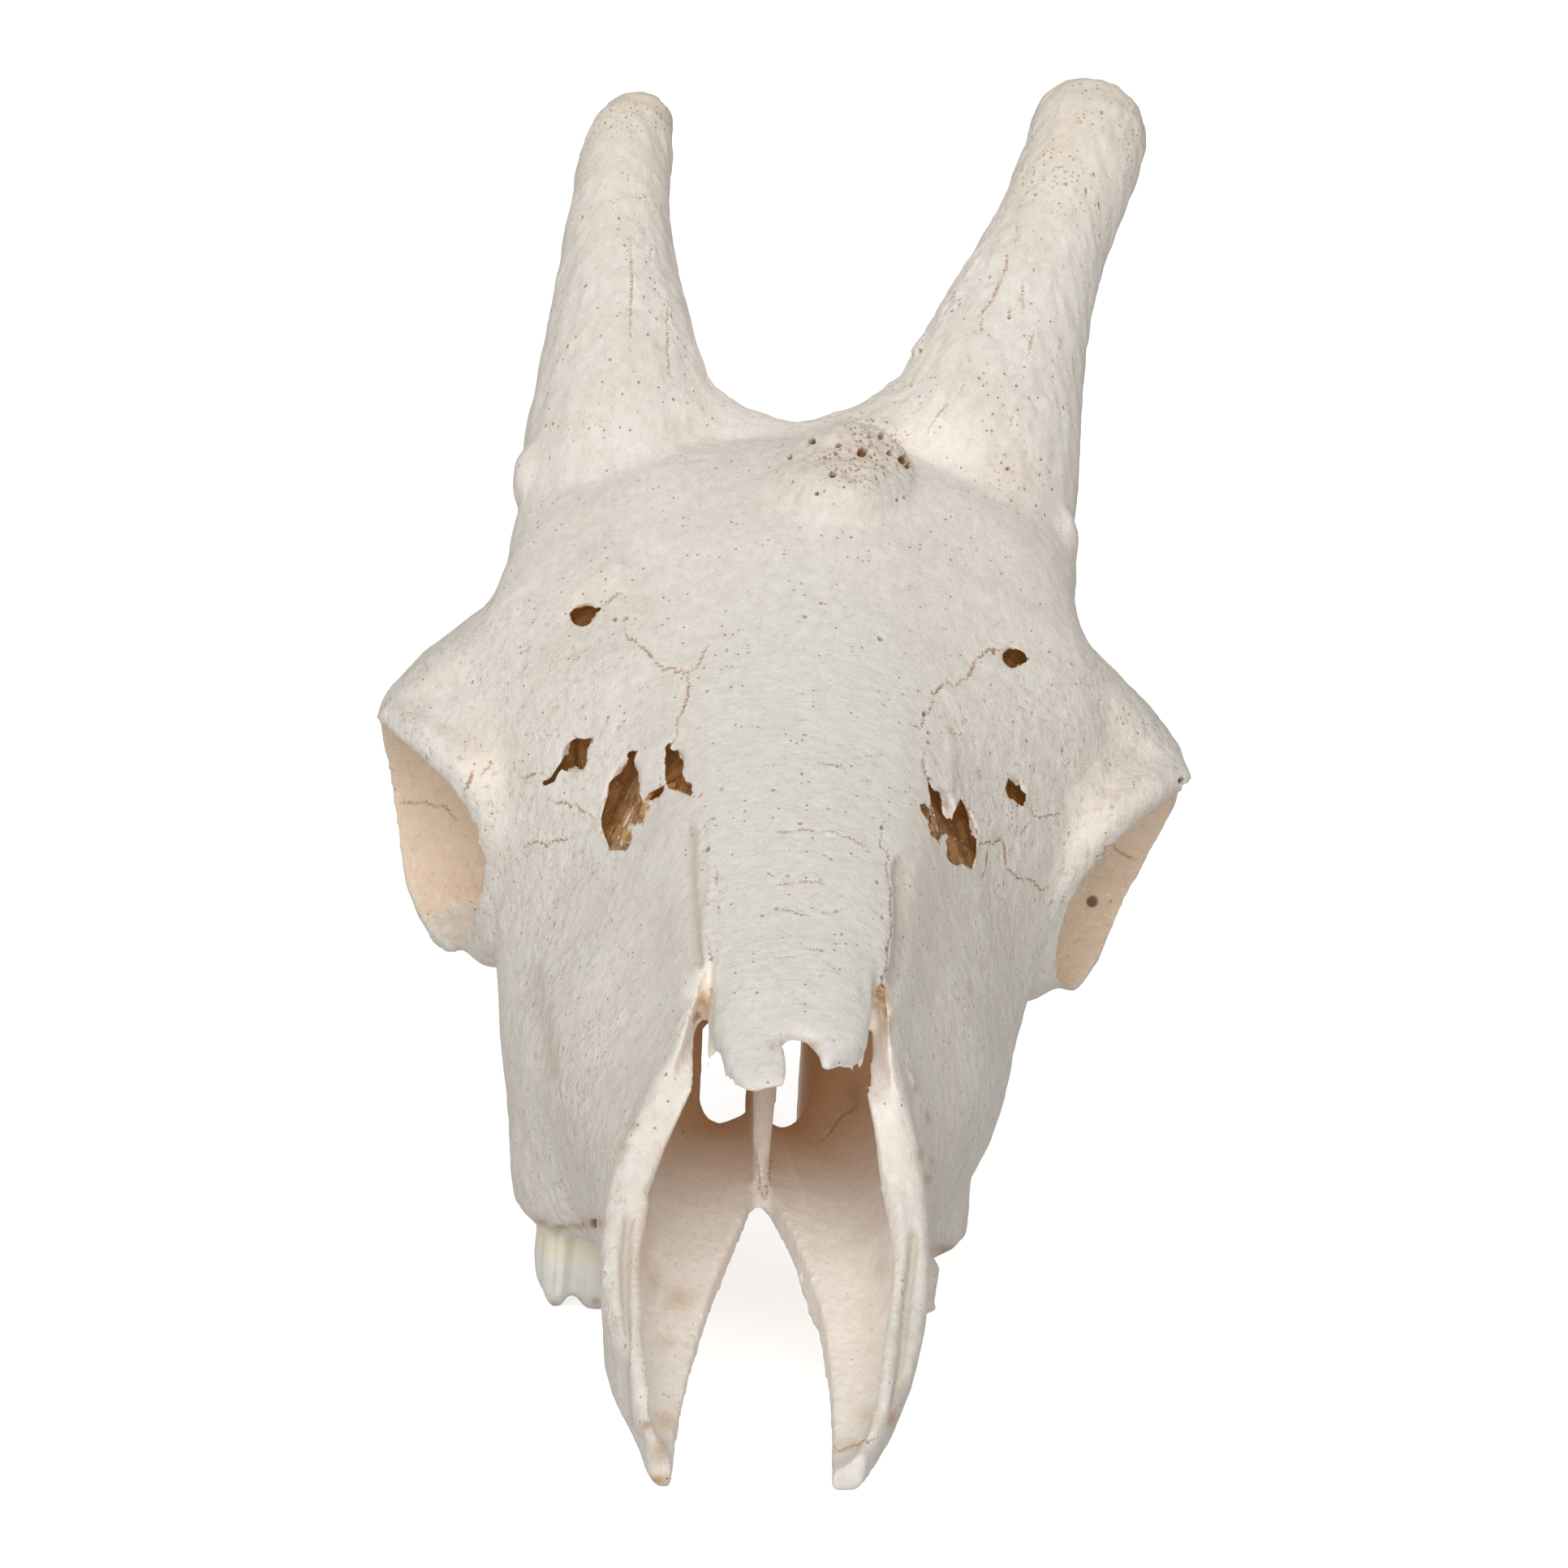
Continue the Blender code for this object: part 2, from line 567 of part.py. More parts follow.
def orbit_ring(x, y, z, radius_y, radius_z, slope, side, sign, low_front=0.0, count=40):
    """An ellipse facing sideways, leaning out towards its top and its back.

    low_front is the roundness of its lower front quarter where that differs."""
    ring = []
    for k in range(count):
        angle = 2 * math.pi * k / count
        square = ORBIT_SQUARENESS[side] if math.sin(angle) < 0 else 1.0
        if low_front and math.sin(angle) < 0 and math.cos(angle) < 0:
            square = low_front
        off_y = radius_y * math.copysign(abs(math.cos(angle)) ** square, math.cos(angle))
        high = radius_z + (ORBIT_DROP[side] if math.sin(angle) < 0 else 0.0)
        off_z = high * math.copysign(abs(math.sin(angle)) ** square, math.sin(angle))
        shift = along(ORBIT_SHIFTS[side], z + off_z)[0]
        slope_y = slope * ORBIT_FRONT_SLOPE / ORBIT_SLOPE if off_y < 0 else slope
        out = x + slope_y * off_y + slope * off_z
        ring.append(Vector((sign * out + shift, y + off_y, z + off_z)))
    return ring


def orbit_body(side, sign):
    """The bone round one eye, from the side of the face out to the rim."""
    x, y, z = ORBIT_CENTRE
    wide, high = ORBIT_RADII
    rings = [
        orbit_ring(48, y + 2, z + 20, wide + 4, high + 20, 0.0, side, sign),
        orbit_ring(80, y + 1, z + 12, wide + 1, high + 8, ORBIT_SLOPE * 0.6, side, sign),
        orbit_ring(x - 9, y, z + 2, wide, high + 1, ORBIT_SLOPE, side, sign),
        orbit_ring(x, y, z, wide, high, ORBIT_SLOPE, side, sign),
    ]
    return loft("orbit_" + side, rings)


def orbit_socket(side, sign):
    """The hollow of one orbit, narrowing inward and a little back."""
    x, y, z = ORBIT_CENTRE
    wide, high = ORBIT_OPENING
    rings = [
        orbit_ring(60, y + 8, z, wide * 0.5, high * 0.5, 0.0, side, sign, ORBIT_LOW_FRONT),
        orbit_ring(76, y + 4, z, wide * 0.88, high * 0.88, ORBIT_SLOPE * 0.4, side, sign, ORBIT_LOW_FRONT),
        orbit_ring(x - 8, y, z, wide, high, ORBIT_SLOPE, side, sign, ORBIT_LOW_FRONT),
        orbit_ring(x + 4, y, z, wide * 1.02, high * 1.02, ORBIT_SLOPE, side, sign, ORBIT_LOW_FRONT),
        orbit_ring(x + 40, y, z, wide * 1.1, high * 1.1, ORBIT_SLOPE, side, sign, ORBIT_LOW_FRONT),
    ]
    return loft("socket_" + side, rings)


def brow(side, sign):
    """The shelf over one eye, from the forehead out to the upper rim."""
    shelf = limb("shelf_" + side, (
        (sign * 50, 208, 204, 34, 18), (sign * 74, 208, 192, 31, 14), (sign * 92, 206, 180, 27, 11.5),
        (sign * 106, 202, 171, 23, 9.5), (sign * 119, 196, 160.5, 15, 6.5),
    ))
    rim = [
        (90, 154, 138, 5.5, 6), (98, 159, 149, 6.5, 6.5), (110, 169, 157, 6.5, 6), (118.5, 184, 159, 6.5, 6),
        (121, 200, 155, 6, 6), (120, 214, 144, 5, 5.5), (116, 222, 130, 4.5, 5.5), (112, 223, 112, 4.5, 5.5),
    ]
    path = [(sign * x + along(ORBIT_SHIFTS[side], z)[0], y, z, wide, deep) for x, y, z, wide, deep in rim]
    return [shelf, limb("rim_" + side, path)]


def horn_saddle():
    """The crest that joins the feet of the two horn cores across the forehead."""
    return limb("saddle", (
        (-60, 282, 241, 24, 22), (-42, 275, 248, 22, 17), (-24, 269, 239, 22, 14), (0, 265, 236, 22, 13),
        (24, 269, 243, 22, 14), (42, 277, 252, 22, 19), (60, 285, 248, 24, 22),
    ))


def zygomatic_arch(side, sign):
    """The thin bar from under the eye back to the side of the braincase."""
    path = (
        (sign * 91, 200, 94, 7, 8), (sign * 100, 222, 97, 6.5, 9.5), (sign * 101, 246, 97, 6, 10),
        (sign * 95, 268, 101, 6.5, 10), (sign * 82, 287, 107, 8.5, 10), (sign * 60, 300, 113, 12, 11),
    )
    return limb("arch_" + side, path)


def rear_forms(side, sign):
    """Condyle, paroccipital process, ear bulla and ear tube, and the nuchal crest of one side."""
    return [
        ball("condyle_" + side, (sign * 26, 390, 80), (17, 15, 25), (12, 0, sign * -24)),
        limb("process_" + side, (
            (sign * 50, 350, 104, 17, 14), (sign * 56, 353, 66, 13, 11), (sign * 59.5, 355, 36, 9, 9),
            (sign * 60, 354, 14, 6.5, 7), (sign * 60, 353, -3, 6, 6),
        )),
        ball("bulla_" + side, (sign * 40, 318, 56), (12, 20, 19), (0, sign * 12, 0)),
        limb("ear_" + side, (
            (sign * 44, 316, 96, 12, 12), (sign * 62, 320, 98, 10, 10), (sign * 73, 324, 101, 8.5, 8.5),
        )),
        ball("mastoid_" + side, (sign * 59, 350, 122), (16, 17, 38)),
        limb("crest_" + side, (
            (sign * -6, 381, 201, 7, 8), (sign * 18, 380, 198, 7, 8), (sign * 40, 374, 184, 7.5, 8),
            (sign * 58, 364, 160, 8, 8.5), (sign * 67, 352, 132, 8, 9),
        )),
    ]


def median_boss():
    """The low rough knob in the middle of the forehead, a little to the left."""
    return [
        ball("boss", (14, 228, 243), (19, 20, 13)),
        ball("boss_skirt", (11, 226, 234), (26, 38, 16)),
    ]


def outer_form():
    """The whole outside of the skull, before its hollows are cut."""
    pieces = [face_and_braincase(), maxilla_blades()]
    pieces.append(cut_nasal_tips(nasal_tips()))
    pieces += median_boss()
    pieces.append(horn_saddle())
    pieces += [ball(name, centre, radii, segments=16) for name, centre, radii in LUMPS]
    for side, sign in SIDES:
        pieces.append(orbit_body(side, sign))
        pieces += brow(side, sign)
        pieces.append(zygomatic_arch(side, sign))
        pieces.append(limb("horn_" + side, OSSICONES[side]))
        pieces += rear_forms(side, sign)
    return fuse("skull", pieces)


# Hollows

def nasal_passage():
    """The space behind the nose opening, narrowing back to the choanae."""
    rings = [section(PASSAGE_LINES, y) for y in stations(-144, 165, 6)]
    return loft("passage", rings)


def nasal_notches(side, sign):
    """The narrow notch between a nasal tip and the edge of the maxilla beside it."""
    rings = []
    for y in stations(NOTCH_LINE[0][0], NOTCH_LINE[-1][0], 6):
        near, far, low = along(NOTCH_LINE, y)
        rings.append([Vector((sign * x + lean(x, z), y, z)) for x, z in (
            (near, low), (far, low), (far, NOSE_ROOM[1]), (near, NOSE_ROOM[1]),
        )])
    return loft("notch_" + side, rings)


def palate_cleft():
    """The pointed gap between the two palate plates, where the front bones are lost."""
    rings = []
    for y in stations(CLEFT_LINE[0][0], CLEFT_LINE[-1][0], 6):
        right, left = along(CLEFT_LINE, y)
        top = along(PASSAGE_MIDDLE, y)[1] + 6
        rings.append([Vector((x, y, z)) for x, z in (
            (right, -10), (left, -10), (left + 1, top), (right - 1, top),
        )])
    return loft("cleft", rings)


def choana():
    """The open way behind the palate, between the pterygoid plates."""
    rings = []
    for y in stations(CHOANA_ROOF_LINE[0][0], CHOANA_ROOF_LINE[-1][0], 10):
        roof = along(CHOANA_ROOF_LINE, y)[0]
        wide = CHOANA_HALF_WIDTH
        rings.append([Vector((MIDLINE_X + x, y, z)) for x, z in (
            (-wide, -10), (wide, -10), (wide, roof - 8), (wide * 0.6, roof), (-wide * 0.6, roof),
            (-wide, roof - 8),
        )])
    return loft("choana", rings)


def lacrimal_gaps():
    """The ragged gaps in front of each orbit and the holes above them, sunk into the bone."""
    gaps = []
    for name, centre, radii in (
        ("gap_right_tall", (-49.5, 108, 153.5), (5.6, 13, 14)),
        ("gap_right_outer", (-64, 134, 160.5), (4.6, 9, 5)),
        ("gap_right_inner", (-35.3, 96, 166.3), (3.0, 9, 7)),
        ("gap_left_inner", (44.5, 95, 159.4), (4.6, 10, 7)),
        ("gap_left_tall", (51.5, 103, 151), (4.4, 13, 9.5)),
        ("gap_left_outer", (67.4, 133, 160), (3.0, 7, 4)),
        ("foramen_right", (-64.5, 173, 197), (4.0, 7, 4)),
        ("foramen_left", (65.6, 165, 195.5), (3.4, 7, 3.4)),
    ):
        gaps.append(ball(name, centre, radii, segments=12))
    return gaps


def hollows():
    """Every opening of the skull, as closed cutters."""
    cutters = [nasal_passage(), palate_cleft(), choana(), plan_block("tip", LEFT_TIP_OUTLINE, TIP_ROOM)]
    cutters.append(ball("foramen_magnum", (0, 402, 92), (15, 26, 13), segments=20))
    cutters += lacrimal_gaps()
    for side, sign in SIDES:
        cutters.append(orbit_socket(side, sign))
        cutters.append(nasal_notches(side, sign))
    return cutters


# Thin plates and teeth

def pterygoid_plate(side, sign):
    """The thin plate that hangs beside the choana."""
    outline = (
        (112, 60), (118, 38), (150, 31), (182, 24), (196, 26), (204, 40), (216, 62), (240, 76), (200, 90),
        (130, 86),
    )
    near = CHOANA_HALF_WIDTH + 0.2
    low, high = sorted((MIDLINE_X + sign * near, MIDLINE_X + sign * (near + 4)))
    return plate("pterygoid_" + side, outline, low, high)


def septum():
    """The upright plate in the middle of the passage, most of which becomes the vomer."""
    return plate("septum", SEPTUM_OUTLINE, MIDLINE_X - 2.0, MIDLINE_X + 2.6)


def tooth_column(name, centre, half_length, half_width):
    """One column of a cheek tooth, from its root down to its cusp."""
    rings = []
    for height, share in COLUMN_PROFILE:
        ring = []
        for k in range(COLUMN_POINTS):
            angle = 2 * math.pi * k / COLUMN_POINTS
            off = Vector((half_width * math.cos(angle), half_length * math.sin(angle), height))
            ring.append(centre + Vector((off.x * share, off.y * share, off.z)))
        rings.append(ring)
    return loft(name, rings)


def tooth_places():
    """Each cheek tooth as (name, front y, length, width), from the first to the last."""
    front = 2.0
    for name, length, width in TEETH:
        yield name, front, length, width
        front += length * 0.985


def tooth_row(side, sign):
    """The cheek teeth that are left on one side; premolars have one lobe and molars two."""
    row = []
    for name, front, length, width in tooth_places():
        if name not in TEETH_PRESENT[side]:
            continue
        lobes = 2 if name[0] == "M" else 1
        for index in range(lobes):
            share = length / lobes
            y = front + share * (index + 0.5)
            outer, _ = along(TOOTH_LINE, y)
            for across, half in COLUMNS:
                middle = outer - width * (0.5 - across) - 1.0
                centre = Vector((sign * middle + TOOTH_SHIFT[side], y, 0))
                column = "%s_%s_%d" % (name, side, index)
                row.append(tooth_column(column, centre, share * 0.56, width * half))
    return row


def empty_sockets(side, sign):
    """The sockets of the teeth that are lost, in pairs of root holes."""
    holes = []
    for name, front, length, width in tooth_places():
        if name in TEETH_PRESENT[side]:
            continue
        for share in (0.28, 0.74):
            y = front + length * share
            outer, rim = along(TOOTH_LINE, y)
            centre = (sign * (outer - width / 2 - 2.0) + LOW_SHIFT, y, rim)
            holes.append(ball("hole_" + name, centre, (width * 0.34, length * 0.19, 12), segments=10))
    return holes


# Division into bones

def grown_outline(outline, grow):
    """A closed flat outline with every edge moved outward by grow."""
    points = [Vector(point) for point in outline]
    area = sum(a.cross(b) for a, b in zip(points, points[1:] + points[:1]))
    turn = 1 if area > 0 else -1
    moved = []
    for i, here in enumerate(points):
        first = (here - points[i - 1]).normalized()
        second = (points[(i + 1) % len(points)] - here).normalized()
        normal_first = Vector((first.y, -first.x)) * turn
        normal_second = Vector((second.y, -second.x)) * turn
        outward = (normal_first + normal_second).normalized()
        moved.append(tuple(here + outward * grow / max(outward.dot(normal_first), 0.3)))
    return moved


def block(name, outline, low, high):
    """A maker of blocks with an outline of (y, z) points between two x planes."""
    def make(grow):
        return plate("room_" + name, grown_outline(outline, grow), low - grow, high + grow)
    return make


def horn_room(side):
    """A maker of the room above the foot plane of one horn core."""
    foot = Vector(OSSICONES[side][2][:3])
    ahead = Vector(HORN_FOOT_DIRECTION).normalized()

    def make(grow):
        start = foot - ahead * (HORN_FOOT_DROP + grow)
        bm = bmesh.new()
        bmesh.ops.create_cone(
            bm, cap_ends=True, segments=24, radius1=(HORN_ROOM_RADIUS + grow) * MM,
            radius2=(HORN_ROOM_RADIUS + grow) * MM, depth=HORN_ROOM_LENGTH * MM,
        )
        spin = ahead.to_track_quat("Z", "Y").to_matrix().to_4x4()
        middle = start + ahead * HORN_ROOM_LENGTH / 2
        bm.transform(Matrix.Translation(middle * MM) @ spin)
        return add_object("room_ossicone_" + side, bm, "work")
    return make


def nasal_room(grow):
    """The room of the nasal bones: their width, from above them down through their thickness."""
    rings = []
    for y in stations(-72 - grow, NASAL_END + grow, 10):
        wide = along(NASAL_WIDTH_LINE, y)[0] + grow
        _, crown = along(TOP_LINE, y)
        low = (crown if y > TOP_LINE[0][0] else along(NASAL_EDGE_LINE, y)[1]) - NASAL_DEPTH - grow
        middle = lean(0, crown)
        rings.append([Vector((middle + x, y, z)) for x, z in (
            (-wide, low), (wide, low), (wide, ROOM_TOP), (-wide, ROOM_TOP),
        )])
    return loft("room_nasals", rings)


def bone_rooms():
    """Each bone's name with the maker of the room that it fills, in cutting order."""
    far = ROOM_REACH
    yield "vomer", block("vomer", VOMER_OUTLINE, MIDLINE_X - 5, MIDLINE_X + 5)
    yield "ossicone_left", horn_room("left")
    yield "ossicone_right", horn_room("right")
    yield "nasals", nasal_room
    yield "zygomatic_left", block("zygomatic_left", ZYGOMATIC_OUTLINE, ZYGOMATIC_INNER, far)
    yield "zygomatic_right", block("zygomatic_right", ZYGOMATIC_OUTLINE, -far, -ZYGOMATIC_INNER)
    yield "maxilla_left", block("maxilla_left", MAXILLA_OUTLINE, MIDLINE_X, far)
    yield "maxilla_right", block("maxilla_right", MAXILLA_OUTLINE, -far, MIDLINE_X - JOINT_GAP)
    yield "frontal", block("frontal", FRONTAL_OUTLINE, -far, far)


def divide(skull):
    """Parts the skull with thin cuts; what is left at the end is the braincase."""
    bones = []
    for name, room in bone_rooms():
        bone = skull.copy()
        bone.data = skull.data.copy()
        bpy.data.collections["work"].objects.link(bone)
        combine(bone, [room(0.0)], "INTERSECT")
        combine(skull, [room(JOINT_GAP)], "DIFFERENCE")
        bone.name = name
        bones.append(bone)
    skull.name = "braincase"
    return bones + [skull]


def finish_bone(bone):
    """Gives a bone its material, its shading and its place over the skull's origin."""
    material = bpy.data.materials.new("bone_" + bone.name)
    material.use_nodes = True
    shader = material.node_tree.nodes["Principled BSDF"]
    shader.inputs["Base Color"].default_value = (*BONE_MATERIALS[bone.name], 1.0)
    shader.inputs["Roughness"].default_value = BONE_ROUGHNESS
    shader.inputs["Metallic"].default_value = 0.0
    bone.data.materials.clear()
    bone.data.materials.append(material)
    bone.data.transform(Matrix.Translation(Vector(FRAME_SHIFT) * MM))
    bpy.data.collections["work"].objects.unlink(bone)
    bpy.data.collections[SKULL_NAME].objects.link(bone)
    bone.data.shade_smooth()
    bone.data.set_sharp_from_angle(angle=math.radians(40))


def main():
    """Builds the skull and divides it into its bones."""
    for obj in list(bpy.data.objects):
        bpy.data.objects.remove(obj)
    for name in ("work", SKULL_NAME):
        collection = bpy.data.collections.new(name)
        bpy.context.scene.collection.children.link(collection)
    skull = outer_form()
    combine(skull, hollows(), "DIFFERENCE")
    triangles = sum(len(face.vertices) - 2 for face in skull.data.polygons)
    apply_modifier(skull, "DECIMATE", ratio=SKULL_TRIANGLES / triangles, use_collapse_triangulate=True)
    for side, sign in SIDES:
        combine(skull, [pterygoid_plate(side, sign)] + tooth_row(side, sign), "UNION")
        combine(skull, empty_sockets(side, sign), "DIFFERENCE")
    combine(skull, [septum(), limb("vomer_edge", VOMER_EDGE, sides=10)], "UNION")
    combine(skull, [box("floor", *FLOOR_ROOM)], "DIFFERENCE")
    for bone in divide(skull):
        finish_bone(bone)
    bpy.data.collections.remove(bpy.data.collections["work"])


if __name__ == "__main__":
    main()
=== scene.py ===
"""A giraffe's skull on a pale floor: ten bones with their seams, cracks, pores and teeth.

The solids give every bone its place and size. Here they become one fine surface, which
is worn, cracked and pitted in one go, so that nothing shows where two bones are grown
together, and is then handed back to the bones.
"""

import math
from itertools import product
from types import SimpleNamespace

import bmesh
import bpy
import numpy as np
from bpy.props import FloatProperty, FloatVectorProperty, IntProperty, PointerProperty
from mathutils import Matrix, Vector
from mathutils.bvhtree import BVHTree
from mathutils.kdtree import KDTree


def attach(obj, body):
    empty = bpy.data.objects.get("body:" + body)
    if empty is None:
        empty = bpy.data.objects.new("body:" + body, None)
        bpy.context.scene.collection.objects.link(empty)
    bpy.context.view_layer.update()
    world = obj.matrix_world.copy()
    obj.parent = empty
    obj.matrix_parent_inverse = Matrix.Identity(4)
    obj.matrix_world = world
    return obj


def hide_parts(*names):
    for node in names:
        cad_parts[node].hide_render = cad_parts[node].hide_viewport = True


bl_info = {
    "name": "Giraffe Skull",
    "version": (1, 0, 0),
    "blender": (4, 5, 0),
    "location": "3D View > Sidebar > Skull",
    "description": "Makes a weathered giraffe skull from its solid bones",
    "category": "Add Mesh",
}

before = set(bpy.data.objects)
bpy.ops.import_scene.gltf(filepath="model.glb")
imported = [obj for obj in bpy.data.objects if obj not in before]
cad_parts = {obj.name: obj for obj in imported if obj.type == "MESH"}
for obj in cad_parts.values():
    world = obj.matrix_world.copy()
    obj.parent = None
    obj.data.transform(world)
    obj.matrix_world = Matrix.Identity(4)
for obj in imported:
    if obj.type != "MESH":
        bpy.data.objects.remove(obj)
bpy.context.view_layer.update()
MM = 0.001

# Where the skull is seen from, in metres, and the square picture that is seen there
VIEW_PLACE = Vector((-0.0822925, -1.9113194, 0.4927224))
VIEW_AHEAD = Vector((0.04123947, 0.98394391, -0.17364818))
VIEW_RIGHT = Vector((0.99635899, -0.02751885, 0.08069368))
VIEW_UP = Vector((-0.07461946, 0.17634369, 0.98149623))
PICTURE = 1932
FOCAL = 8000.0
SENSOR = 36.0

# Each bone, with its slot in the record
BONES = {
    "braincase": "bone_shaded",
    "frontal": "bone_cream",
    "nasals": "bone_white",
    "maxilla_left": "bone_shaded",
    "maxilla_right": "bone_shaded",
    "zygomatic_left": "bone_cream",
    "zygomatic_right": "bone_cream",
    "ossicone_left": "horn_core",
    "ossicone_right": "horn_core",
    "vomer": "bone_tan",
}
